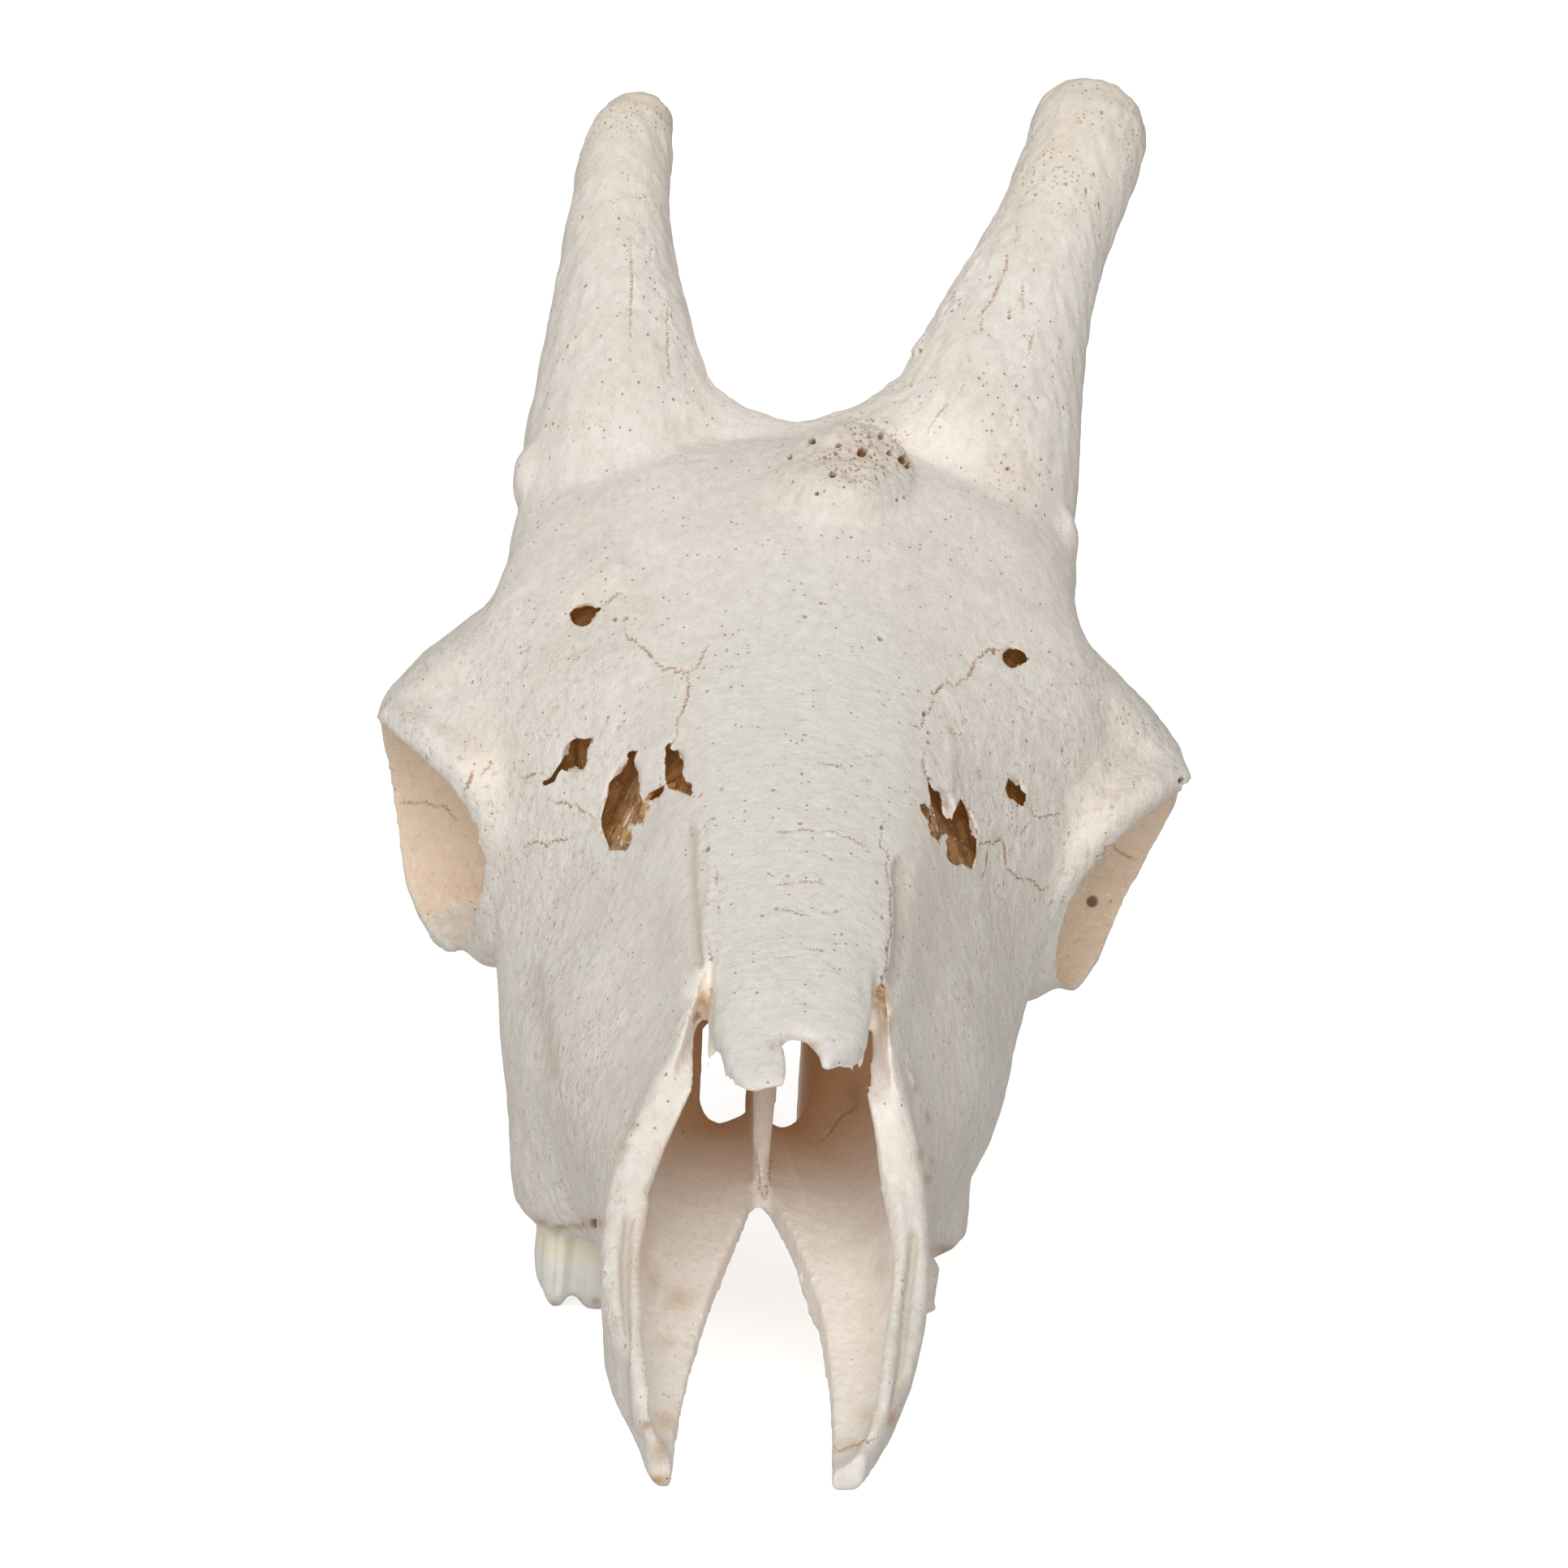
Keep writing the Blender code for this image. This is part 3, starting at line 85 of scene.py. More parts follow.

# Open seams and cracks, and two wide lines of painted shadow in the notches of the nose: width in pixels,
# depth in mm, points of the picture
SEAMS = (
    (2.0, 0.7, (
        (770, 773), (772, 784), (775, 788), (781, 787), (786, 793), (793, 798), (799, 805), (804, 810),
        (809, 817), (815, 820), (816, 826), (820, 821), (825, 822), (830, 820), (831, 826), (835, 829),
        (838, 823), (842, 828), (846, 825), (848, 828),
    )),
    (1.8, 0.5, (
        (852, 826), (855, 822), (860, 818), (861, 814), (864, 809), (866, 802), (870, 796), (874, 793),
    )),
    (2.2, 0.8, (
        (848, 828), (846, 836), (849, 842), (846, 850), (848, 854), (845, 860), (842, 870), (839, 878),
        (834, 882), (832, 890), (833, 900), (832, 906), (828, 912), (824, 916),
    )),
    (2.2, 0.8, ((568, 975), (575, 968), (579, 961), (581, 954), (584, 948))),
    (1.8, 0.6, ((592, 956), (596, 950), (601, 947), (605, 941), (609, 940))),
    (1.6, 0.5, ((632, 938), (633, 948), (631, 954))),
    (2.2, 0.8, ((639, 957), (646, 958), (654, 955), (666, 953))),
    (2.0, 0.7, (
        (672, 986), (676, 984), (685, 990), (692, 989), (698, 990), (703, 994), (708, 990), (711, 995),
        (716, 999), (722, 1001), (730, 1008),
    )),
    (2.0, 0.7, (
        (643, 1046), (648, 1041), (656, 1038), (666, 1038), (672, 1043), (676, 1039), (684, 1036),
        (692, 1035), (698, 1032), (703, 1030),
    )),
    (2.0, 0.8, ((740, 748), (742, 744), (751, 738), (758, 732), (767, 728))),
    (2.4, 0.8, (
        (1238, 801), (1230, 799), (1221, 799), (1214, 803), (1207, 810), (1201, 818), (1198, 826),
        (1194, 834), (1188, 836), (1184, 838), (1181, 843), (1176, 844), (1172, 840), (1169, 836),
        (1167, 842), (1161, 845), (1156, 849), (1151, 855), (1148, 851),
    )),
    (1.8, 0.6, (
        (1151, 856), (1150, 868), (1145, 878), (1140, 878), (1139, 889), (1135, 897), (1127, 893),
        (1120, 889),
    )),
    (1.6, 0.5, ((1167, 895), (1172, 902), (1180, 904), (1183, 908))),
    (1.6, 0.5, ((1180, 895), (1186, 890), (1197, 885))),
    (2.2, 0.9, ((1139, 927), (1139, 939), (1142, 950), (1145, 956), (1147, 965))),
    (1.6, 0.6, ((1205, 943), (1207, 950), (1209, 960))),
    (1.8, 0.6, ((1265, 986), (1272, 996), (1277, 1007), (1287, 1007), (1299, 1005), (1310, 1002))),
    (1.6, 0.5, ((1277, 1007), (1268, 1015), (1264, 1025), (1255, 1030))),
    (2.0, 0.7, (
        (1203, 1040), (1213, 1039), (1221, 1038), (1226, 1040), (1234, 1033), (1239, 1040), (1240, 1049),
        (1240, 1061), (1245, 1072), (1251, 1076), (1255, 1080), (1263, 1085), (1271, 1084), (1278, 1088),
        (1286, 1099), (1295, 1093),
    )),
    (1.8, 0.6, (
        (1347, 1061), (1353, 1061), (1355, 1055), (1360, 1054), (1365, 1044), (1371, 1042), (1377, 1049),
        (1392, 1057), (1400, 1061),
    )),
    (1.8, 0.6, (
        (490, 990), (500, 988), (512, 992), (524, 988), (536, 995), (548, 993), (560, 1008), (566, 1012),
    )),
    (1.8, 0.8, ((870, 1150), (872, 1158), (873, 1167), (876, 1178), (876, 1187), (877, 1197))),
    (1.6, 0.6, ((888, 1107), (884, 1114), (884, 1124), (886, 1138))),
    (1.8, 0.7, ((881, 1064), (883, 1074), (882, 1084), (883, 1093))),
    (2.0, 0.9, (
        (1087, 1017), (1089, 1026), (1086, 1040), (1093, 1045), (1097, 1052), (1093, 1067), (1096, 1080),
        (1100, 1096), (1099, 1120), (1101, 1136), (1100, 1150), (1095, 1166), (1096, 1180), (1096, 1193),
        (1090, 1203), (1088, 1216),
    )),
    (1.6, 0.5, (
        (953, 1023), (970, 1024), (987, 1020), (1007, 1023), (1020, 1022), (1037, 1027), (1050, 1032),
        (1060, 1038), (1070, 1042),
    )),
    (1.4, 0.45, ((953, 1088), (970, 1087), (993, 1084), (1010, 1085), (1022, 1089))),
    (1.4, 0.4, ((939, 1126), (948, 1123))),
    (1.6, 0.5, ((957, 1117), (970, 1119), (983, 1123), (997, 1126))),
    (1.4, 0.5, ((1013, 1124), (1028, 1122), (1037, 1120), (1045, 1117))),
    (1.4, 0.4, ((990, 1166), (1012, 1170))),
    (1.2, 0.35, ((953, 1179), (968, 1178), (980, 1179))),
    (1.4, 0.4, ((1005, 1200), (1018, 1201))),
    (1.4, 0.45, ((1007, 939), (1020, 940), (1033, 942), (1042, 947))),
    (1.2, 0.35, ((973, 884), (985, 885), (997, 887))),
    (1.2, 0.35, ((1050, 932), (1067, 930), (1087, 928), (1092, 923))),
    (1.4, 0.4, ((1060, 960), (1073, 959))),
    (1.6, 0.6, ((1190, 428), (1193, 437), (1195, 447))),
    (2.2, 0.8, ((1240, 315), (1239, 330), (1225, 360), (1220, 370), (1205, 390))),
    (2.0, 0.7, ((1252, 277), (1253, 288), (1250, 300))),
    (2.0, 0.7, ((1245, 375), (1242, 395))),
    (1.8, 0.6, ((1260, 345), (1261, 375), (1259, 390))),
    (1.8, 0.6, ((1275, 405), (1270, 425), (1267, 437))),
    (2.0, 0.6, ((1210, 390), (1207, 407))),
    (1.6, 0.5, ((777, 290), (779, 340), (777, 390), (776, 435))),
    (1.6, 0.5, ((822, 370), (824, 415), (825, 465))),
    (1.6, 0.5, ((802, 300), (801, 325))),
    (1.6, 0.5, ((704, 535), (706, 545))),
    (1.8, 0.6, ((1138, 536), (1143, 529), (1147, 522), (1160, 503), (1170, 497))),
    (1.4, 0.45, ((1180, 487), (1185, 479), (1188, 470))),
    (1.8, 0.6, ((1072, 775), (1078, 781), (1085, 785))),
    (1.2, 0.4, ((1120, 713), (1121, 723), (1122, 733))),
    (1.4, 0.45, ((1245, 527), (1247, 518), (1250, 507))),
    (1.6, 0.6, ((1325, 647), (1329, 655), (1330, 663), (1330, 674), (1327, 683))),
    (2.2, 0.9, (
        (1027, 1782), (1031, 1785), (1035, 1787), (1043, 1782), (1050, 1780), (1058, 1777), (1063, 1773),
        (1070, 1777), (1083, 1771),
    )),
    (1.2, 0.35, ((1020, 1694), (1034, 1693), (1047, 1691))),
    (2.2, 0.8, ((931, 1420), (933, 1436), (935, 1451), (938, 1466), (941, 1478))),
    (2.2, 0.8, ((951, 1420), (950, 1436), (948, 1451), (945, 1466), (942, 1478))),
    # The next two wide lines are painted shadow in the two notches of the nose, over a shallow cut
    (5.0, 1.4, ((876, 1218), (873, 1228), (870, 1238), (863, 1250), (856, 1262))),
    (5.0, 1.4, ((1086, 1212), (1085, 1226), (1086, 1240), (1089, 1256))),
    (3.4, 1.0, ((1004, 1404), (1015, 1400), (1023, 1391), (1032, 1378), (1044, 1369), (1058, 1361))),
    (2.0, 0.6, ((850, 1404), (843, 1395), (838, 1383))),
    (2.4, 0.8, ((571, 975), (576, 968), (581, 958), (584, 948))),
    (1.8, 0.6, ((850, 1030), (848, 1018), (850, 1008))),
)
SEAM_SPREAD = 1.4
SEAM_SHAKE = 1.3
SEAM_REACH = 6.0

# Raised folds and, where the height is negative, grooves, which are also darkened with painted shade: width
# in pixels, height in mm, points
FOLDS = (
    (15, -1.0, ((852, 1010), (850, 1060), (852, 1110), (856, 1160), (864, 1195))),
    (10, 0.7, ((876, 1005), (874, 1040), (876, 1080), (870, 1120), (868, 1150), (872, 1190))),
    (18, -1.5, ((1112, 1050), (1108, 1080), (1112, 1120), (1111, 1150), (1106, 1190), (1101, 1215))),
    (14, 0.8, ((1169, 905), (1170, 930), (1171, 960), (1168, 1003))),
    (15, 1.3, (
        (796, 1470), (787, 1520), (783, 1560), (783, 1613), (783, 1663), (784, 1707), (787, 1743),
        (793, 1770),
    )),
    (13, -1.7, ((776, 1490), (770, 1547), (770, 1613), (771, 1680), (774, 1730), (780, 1760))),
    (15, 1.3, (
        (1105, 1463), (1112, 1513), (1111, 1547), (1105, 1593), (1098, 1647), (1093, 1697), (1089, 1740),
    )),
    (13, -1.8, (
        (1129, 1510), (1124, 1560), (1119, 1593), (1115, 1630), (1113, 1663), (1108, 1713), (1103, 1733),
    )),
    (12, 0.7, ((1092, 520), (1108, 545), (1120, 575), (1118, 600))),
    (12, 0.5, ((1002, 530), (1000, 550), (1008, 570))),
    (10, 0.7, ((923, 1396), (915, 1420), (905, 1450), (895, 1494))),
    (10, 0.7, ((962, 1400), (975, 1430), (990, 1465), (996, 1500))),
    (9, -1.1, ((689, 1516), (687, 1545), (686, 1575), (684, 1600))),
    (9, -0.9, ((718, 1550), (716, 1585), (714, 1608))),
    (30, 0.7, ((632, 1000), (626, 1050), (618, 1100), (610, 1150))),
    (24, -0.7, ((655, 1180), (668, 1260), (680, 1340))),
)
FOLD_REACH = 26.0
FOLD_SLACK = 12 * MM

# Rough beaded edges: width in pixels, height in mm, points
BEADS = (
    (9, 0.9, ((1104, 459), (1121, 439), (1134, 422), (1147, 404), (1159, 389), (1182, 352), (1207, 312))),
    (9, 0.8, (
        (1098, 1235), (1104, 1258), (1111, 1280), (1118, 1308), (1125, 1337), (1136, 1362), (1146, 1392),
    )),
    (8, 0.6, ((872, 1215), (858, 1232), (842, 1255), (828, 1280))),
    (7, 0.7, ((986, 1560), (990, 1583), (993, 1602))),
    (7, 0.7, ((884, 1602), (893, 1580), (905, 1545))),
    (7, 0.5, ((746, 1540), (744, 1580), (747, 1630), (756, 1670))),
    (8, 0.8, ((1150, 1600), (1146, 1630), (1140, 1660), (1130, 1690))),
)
BEAD_LENGTH = 8.0
BEAD_REACH = 14.0
BEAD_SLACK = 20 * MM

# Length in pixels over which a line fades out at its ends, and how far behind it a point may lie
LINE_END = 14.0
LINE_SLACK = 6 * MM

# Passes that make the surface finer: reach in pixels round the seams and holes, and round the folds
FINER = ((8.0, 12.0), (5.0, 0.0))

# Old stains and some painted shade, as (x, y, half width, half height, strength) in the picture
STAINS_AND_SHADE = (
    (952, 1288, 5, 5, 0.6), (1003, 1287, 8, 4, 0.6), (784, 1560, 8, 30, 0.35), (850, 1600, 12, 10, 0.4),
    (837, 1600, 16, 14, 0.5), (805, 1580, 10, 18, 0.35), (822, 1653, 10, 8, 0.3),
    (823, 1750, 16, 14, 0.6), (813, 1787, 11, 16, 0.6), (798, 1757, 5, 6, 0.8), (810, 1824, 16, 6, 1.0),
    (1067, 1743, 14, 14, 0.4), (1135, 1422, 6, 8, 0.6), (1145, 1453, 5, 6, 0.8),
    (1085, 1567, 14, 16, 0.25), (767, 1413, 7, 8, 0.5), (763, 1430, 6, 8, 0.4), (780, 1386, 8, 6, 0.5),
    (762, 1460, 5, 6, 0.3), (1166, 1541, 14, 7, 0.7), (1100, 1748, 7, 12, 0.7), (1055, 556, 60, 34, 0.22),
    (1247, 577, 38, 34, 0.18), (1048, 1782, 22, 9, 0.35), (795, 1520, 10, 60, 0.3),
    (730, 1508, 14, 7, 1.0), (665, 1507, 10, 4, 0.8), (690, 1513, 12, 4, 0.8), (712, 1511, 14, 4, 0.8),
    # (682, 1607), (711, 1614) and (734, 1604) darken the ends of the teeth; (868, 1238) and the next three
    # are painted shadow in the two notches of the nose
    (682, 1607, 7, 4, 0.6), (711, 1614, 9, 4, 0.6), (734, 1604, 5, 4, 0.8), (868, 1238, 9, 18, 0.9),
    (860, 1252, 8, 8, 0.8), (1086, 1232, 9, 20, 1.0), (1092, 1262, 9, 14, 0.7), (1143, 1377, 5, 7, 0.6),
    (1125, 1340, 5, 8, 0.4), (1052, 1348, 9, 18, 0.9), (1062, 556, 7, 6, 0.6), (1112, 570, 8, 7, 0.7),
    # (1350, 1035) and (602, 950) are painted shade that dulls the brows where the main light falls
    (1350, 1035, 45, 50, 0.1), (602, 950, 30, 50, 0.08), (1150, 1432, 4, 6, 0.5),
    (822, 1440, 16, 40, 0.15), (1070, 1640, 20, 60, 0.15),
)

# Torn gaps through the thin bone in front of the eyes, and the holes above them
GAPS = (
    (
        (709, 911), (720, 911), (728, 910), (724, 920), (719, 927), (722, 938), (719, 947), (713, 946),
        (709, 943), (700, 945), (699, 950), (692, 947), (687, 952), (682, 962), (672, 967), (667, 964),
        (675, 961), (680, 957), (688, 944), (696, 933), (702, 930), (702, 922), (705, 914),
    ),
    (
        (774, 928), (778, 926), (784, 926), (782, 933), (781, 938), (782, 950), (786, 954), (784, 964),
        (786, 976), (789, 986), (791, 992), (800, 978), (818, 969), (816, 974), (804, 990), (792, 996),
        (790, 1008), (792, 1020), (788, 1032), (782, 1039), (776, 1038), (772, 1046), (762, 1047),
        (752, 1046), (749, 1038), (745, 1030), (741, 1018), (741, 1006), (746, 990), (750, 976),
        (751, 966), (758, 958), (766, 952), (771, 944), (775, 935), (773, 930),
    ),
    (
        (820, 921), (823, 916), (827, 915), (825, 922), (829, 926), (835, 926), (836, 934), (838, 942),
        (839, 952), (842, 962), (850, 965), (850, 978), (844, 975), (834, 971), (826, 970), (822, 967),
        (824, 956), (822, 948), (820, 938), (821, 928),
    ),
    (
        (703, 756), (708, 751), (724, 748), (730, 750), (740, 748), (738, 752), (732, 755), (726, 760),
        (724, 766), (718, 769), (712, 767), (707, 764), (704, 759),
    ),
    (
        (1239, 807), (1245, 802), (1251, 801), (1257, 802), (1262, 805), (1266, 811), (1264, 815),
        (1256, 818), (1254, 815), (1251, 819), (1247, 820), (1243, 815), (1240, 811),
    ),
    (
        (1145, 960), (1149, 971), (1155, 977), (1160, 986), (1160, 994), (1161, 1004), (1165, 1009),
        (1173, 1009), (1176, 1002), (1179, 996), (1181, 990), (1184, 984), (1187, 990), (1190, 998),
        (1192, 1007), (1192, 1017), (1194, 1028), (1203, 1036), (1203, 1044), (1202, 1055), (1200, 1061),
        (1197, 1071), (1190, 1065), (1184, 1064), (1179, 1067), (1170, 1061), (1167, 1055), (1168, 1044),
        (1166, 1038), (1169, 1032), (1168, 1026), (1163, 1025), (1157, 1033), (1150, 1026), (1145, 1025),
        (1148, 1019), (1147, 1011), (1142, 1007), (1137, 1000), (1134, 992), (1139, 991), (1142, 992),
        (1145, 998), (1148, 992), (1147, 981), (1145, 971),
    ),
    (
        (1243, 959), (1247, 966), (1252, 969), (1256, 968), (1257, 973), (1264, 979), (1264, 986),
        (1261, 992), (1256, 991), (1249, 983), (1243, 977), (1240, 971), (1242, 965),
    ),
)

# Their cutters: start before the bone, thickness of its wall and depth in mm, and widening inside
GAP_START = -8.0
GAP_WALL = 2.0
GAP_DEPTH = 19.0
GAP_SPREAD = 1.35
GAP_MARGIN = 7.0
GAP_SLACK = 20 * MM

# How near a point is to what is seen through a gap, or to the cutter's surface
GAP_REACH = 1.2 * MM
CUT_REACH = 0.15 * MM

# Places that are set right after the solids, as (x, y, reach) in the picture and mm to the right and up
NUDGES = (
    (572, 1187, 20, -0.5, 4.2), (1157, 1590, 26, -2.4, 1.0), (1300, 1243, 24, 0.6, 5.2),
)
NUDGE_SLACK = 40 * MM

# Rims that are bone on the outside although they lie low, as (x, y, half width, half height)
RIMS = (
    (572, 1142, 52, 42),
)

# Small round holes, as (x, y, radius) in the picture
HOLES = (
    (757, 762, 2.6), (771, 761, 2.2), (1226, 803, 2.6), (1346, 1110, 6.5), (1140, 878, 2.6),
    (1145, 902, 2.2), (1145, 914, 2.2), (1457, 962, 4), (1063, 556, 5.5), (1073, 535, 2.6),
    (1112, 567, 5), (1118, 575, 3), (1033, 547, 3.6), (1026, 584, 4), (1030, 557, 2.6), (1098, 557, 3.2),
    (1087, 535, 3), (1000, 543, 4), (972, 561, 3), (990, 564, 1.6), (1006, 608, 2.5), (1082, 589, 1.8),
    (1107, 616, 2.2), (1115, 613, 2), (1243, 576, 2.2), (1284, 566, 1.8), (1263, 603, 1.4),
    (1278, 623, 1.6), (1235, 569, 1.6), (1133, 432, 2.4), (1244, 390, 1.9), (1209, 404, 1.7),
    (1253, 475, 1.6), (1298, 603, 1.5), (992, 759, 2.3), (1012, 742, 2.1), (988, 718, 1.6),
    (1085, 786, 2.8), (992, 903, 2), (953, 972, 2.2), (986, 1013, 2.2), (1033, 942, 2), (997, 961, 1.8),
    (1021, 995, 1.8), (878, 1007, 2), (872, 1047, 3.2), (1017, 1052, 1.6), (1025, 1057, 2),
    (947, 1074, 1.8), (971, 1077, 1.8), (1012, 1082, 1.6), (957, 1117, 2.2), (939, 1126, 2.2),
    (1031, 1121, 1.8), (1088, 1018, 2.6), (1082, 1086, 2.2), (1088, 1130, 2.2), (1095, 1169, 2.8),
    (1089, 1203, 2.8), (1089, 1214, 2.8), (1013, 1169, 1.8), (1038, 1150, 1.6), (1031, 1161, 1.6),
    (888, 970, 1.6), (863, 977, 1.8), (1048, 570, 1.6), (1058, 540, 1.8), (1078, 560, 1.6),
    (1090, 575, 1.8), (1040, 600, 1.5), (1015, 560, 1.6), (730, 1508, 5),
)
HOLE_DEPTH = 2.2 * MM
HOLE_SLACK = 12 * MM

# The whiter nose bridge, as (row, left edge, right edge) in the picture
BRIDGE = (
    (600, 930, 1080), (650, 900, 1100), (800, 868, 1130), (900, 850, 1148), (1000, 858, 1122),
    (1100, 870, 1104), (1200, 878, 1096), (1300, 884, 1080), (1360, 884, 1040),
)

# Layers of unevenness, as (height, size of the lumps in mm, seed). A size of three runs along x, y and z
SWELLS = ((1.0, 24, 1), (0.6, 11, 2))
ROUGHNESS = ((1.0, 5, 3), (0.8, 2.6, 4))
BRIDGE_GRAIN = ((0.06, (7, 2.2, 2.2), 12), (0.09, 2.9, 22))
HORN_GRAIN = ((0.42, (3, 3, 24), 8), (0.26, (1.7, 1.7, 13), 13))
KNOB_LUMPS = ((1.4, 4.6, 9), (0.7, 2.6, 10))
FLAKE_HEIGHT = 0.22

# Spongy bone: size of its cells in mm, half width of the pit in a cell, its depth in mm, seed
KNOB_SPONGE = (2.9, 0.55, 0.7, 16)
TIP_SPONGE = (2.2, 0.5, 0.4, 17)

# Where kinds of bone begin and end, as the two ends of a soft step, in mm in the frame
TOOTH_FRONT, TOOTH_BACK, TOOTH_SIDE, TOOTH_TOP = (-138, -136), (19, 21), (22, 24), (24.5, 26.5)
TOOTH_MIDDLE = -4
SOCKET_SIDE, SOCKET_FRONT = (62, 70), (15, 25)
PASSAGE_FRONT, PASSAGE_BACK, PASSAGE_SIDE = (-112, -18), (55, 75), (38, 48)
FLAKY_SIDE, FLAKY_TOP = (34, 58), (185, 205)
KNOB_START = (190, 212)
HORN_START, HORN_PORES, HORN_WARMTH, HORN_SPONGE = (225, 262), (285, 340), (292, 345), (322, 340)
ENAMEL_START, ENAMEL_END = 12.5 * MM, 17.5 * MM

# The same for the nose bridge and its wrinkles, in rows of the picture, and how long a wrinkle is there
BRIDGE_START, BRIDGE_END = (590, 840), (1362, 1372)
WRINKLE_START, WRINKLE_END = (940, 1000), (1150, 1250)
WRINKLE_LENGTH = 15

# The knob on the forehead and the rough spot beside it, as (x, y, half width, half height, strength)
KNOBS = ((1060, 556, 66, 46, 1.0), (1250, 580, 40, 40, 0.6))

# Hollows are felt for from this many points, along this many rays, from just off the surface
HOLLOW_POINTS = 14000
HOLLOW_RAYS = 20
HOLLOW_LENGTH = 120 * MM
HOLLOW_LIFT = 1.8 * MM
HOLLOW_NEIGHBOURS = 14

# How far off its surface a point is compared with others, so that the two sides of a thin wall stay apart
HOLLOW_STEP = 4 * MM

# Size of the tables of random numbers, and what spreads the cells of a grid over them
TABLE = 8192
SPREADERS = (73856093, 19349663, 83492791)

# Fine shades of colour that all bones share; the groove colour is painted shade
MOTTLE = (0.93, 0.90, 0.85, 1)
SPECK = (0.60, 0.52, 0.42, 1)
FIBRE = (0.55, 0.47, 0.38, 1)
DULL_FLECK = (0.56, 0.49, 0.40, 1)
GROOVE_SHADE = (0.42, 0.33, 0.24, 1)
BLACK = (0, 0, 0, 1)

# How each bone's grain runs, as the stretch along x, y and z, and the scale of its fibres
GRAINS = {
    "ossicone_left": ((1.0, 1.0, 0.16), 420.0),
    "ossicone_right": ((1.0, 1.0, 0.16), 420.0),
    "nasals": ((0.7, 1.0, 0.8), 420.0),
    "frontal": ((1.0, 0.55, 0.55), 380.0),
}
USUAL_GRAIN = ((1.0, 0.6, 0.45), 380.0)
EVEN = (1.0, 1.0, 1.0)

state = {}


# Settings

def length(name, description, default):
    """A setting for a length."""
    return FloatProperty(name=name, description=description, default=default, unit="LENGTH")


def share(name, description, default):
    """A setting from 0 to 1."""
    return FloatProperty(
        name=name, description=description, default=default, min=0, max=1, subtype="FACTOR",
    )


def strength(name, description, default):
    """A setting for the strength of a light."""
    return FloatProperty(name=name, description=description, default=default, min=0)


def colour(name, description, *default):
    """A setting for a colour."""
    return FloatVectorProperty(
        name=name, description=description, default=default, subtype="COLOR", size=3, min=0, max=1,
    )


class SkullShape(bpy.types.PropertyGroup):
    """Sizes of the fine surface."""

    grain: length("Grain", "Edge length of the fine surface", 0.0013)
    joint_fill: length("Joint Fill", "How far each bone grows to meet its neighbours", 0.00025)
    swell: length("Swell", "Height of the soft unevenness of old bone", 0.0003)
    rough: length("Roughness of Form", "Height of the fine unevenness", 0.00012)
    ripple: length("Bridge Ripple", "Height of the cross wrinkles on the nose bridge", 0.00003)
    smoothing: IntProperty(
        name="Smoothing", description="Passes that soften the fine surface", default=3, min=0, max=10,
    )


class BoneFinish(bpy.types.PropertyGroup):
    """Colours of the weathered bone."""

    cream: colour("Bone", "Main colour of dry bone", 0.745, 0.690, 0.625)
    pale: colour("Bleached", "Sun-bleached patches", 0.80, 0.755, 0.700)
    bridge: colour("Nose Bridge", "Whiter bone of the nose bridge", 0.765, 0.732, 0.695)
    # Warmer bone deep in the nasal passage, painted darker there: painted shade
    ruddy: colour("Passage", "Bone at the back of the nose", 0.66, 0.42, 0.24)
    # Warmer than the open bone and painted lighter, to make up for the shade inside the hollows
    tan: colour("Hollow", "Bone inside the nose", 0.86, 0.795, 0.73)
    socket: colour("Eye Socket", "Bone inside the eye sockets", 0.76, 0.605, 0.465)
    # Brown bone deep inside the gaps, darkened with painted shade
    amber: colour("Deep Hollow", "Bone deep inside the gaps", 0.22, 0.095, 0.025)
    tip: colour("Horn Tip", "Warmer bone at the ends of the horns", 0.74, 0.63, 0.49)
    # Colour of the painted glow in the gaps
    gap_glow: colour(
        "Glow in the Gaps", "Light that comes through the bone inside the gaps", 0.62, 0.27, 0.06,
    )
    light_amber: colour("Light Amber", "Paler streaks inside the gaps", 0.52, 0.29, 0.10)
    # Painted shade inside the small holes and the spongy pits, which are cut only shallow
    pit: colour("Pit", "Dark inside of the small holes", 0.20, 0.095, 0.035)
    # Darkens the cracks, the seams and the pores, and is the painted shadow in the notches of the nose
    crack_and_shadow: colour("Crack and Shadow", "Dirt inside cracks and pores", 0.40, 0.19, 0.06)
    fleck: colour("Flecks", "Small pale flakes", 0.86, 0.83, 0.78)
    # Also the painted shadow in the notches of the nose and the painted shade on the brows
    stain_and_shade: colour("Stain and Shade", "Old stains", 0.50, 0.29, 0.11)
    crown: colour("Tooth Crown", "Enamel of the teeth", 0.74, 0.72, 0.69)
    neck: colour("Tooth Neck", "Necks of the teeth", 0.80, 0.735, 0.59)
    # Strength of a painted glow: the hollows and the gaps shine with their own colours
    through: share("Hollow Glow", "Light that comes through the thin walls of the hollows", 0.08)
    roughness: share("Roughness", "Roughness of the bone", 0.68)


class StageSettings(bpy.types.PropertyGroup):
    """The floor and the light."""

    floor: colour("Floor", "Colour of the floor", 0.82, 0.82, 0.815)
    lamp: colour("Lamp", "Colour of the lamps and of the room", 1.0, 0.995, 0.985)
    glow: strength("Floor Glow", "How much whiter the floor is seen", 0.85)
    sky: strength("Room Light", "Strength of the even light", 0.36)
    key: strength("Main Light", "Strength of the soft main light", 1.5)
    front: strength("Front Light", "Strength of the light from the front", 0.65)


# Numbers

def table_places(cells):
    """A place in a table of random numbers for each cell of a grid."""
    return np.bitwise_xor.reduce(cells * SPREADERS, axis=1) % TABLE


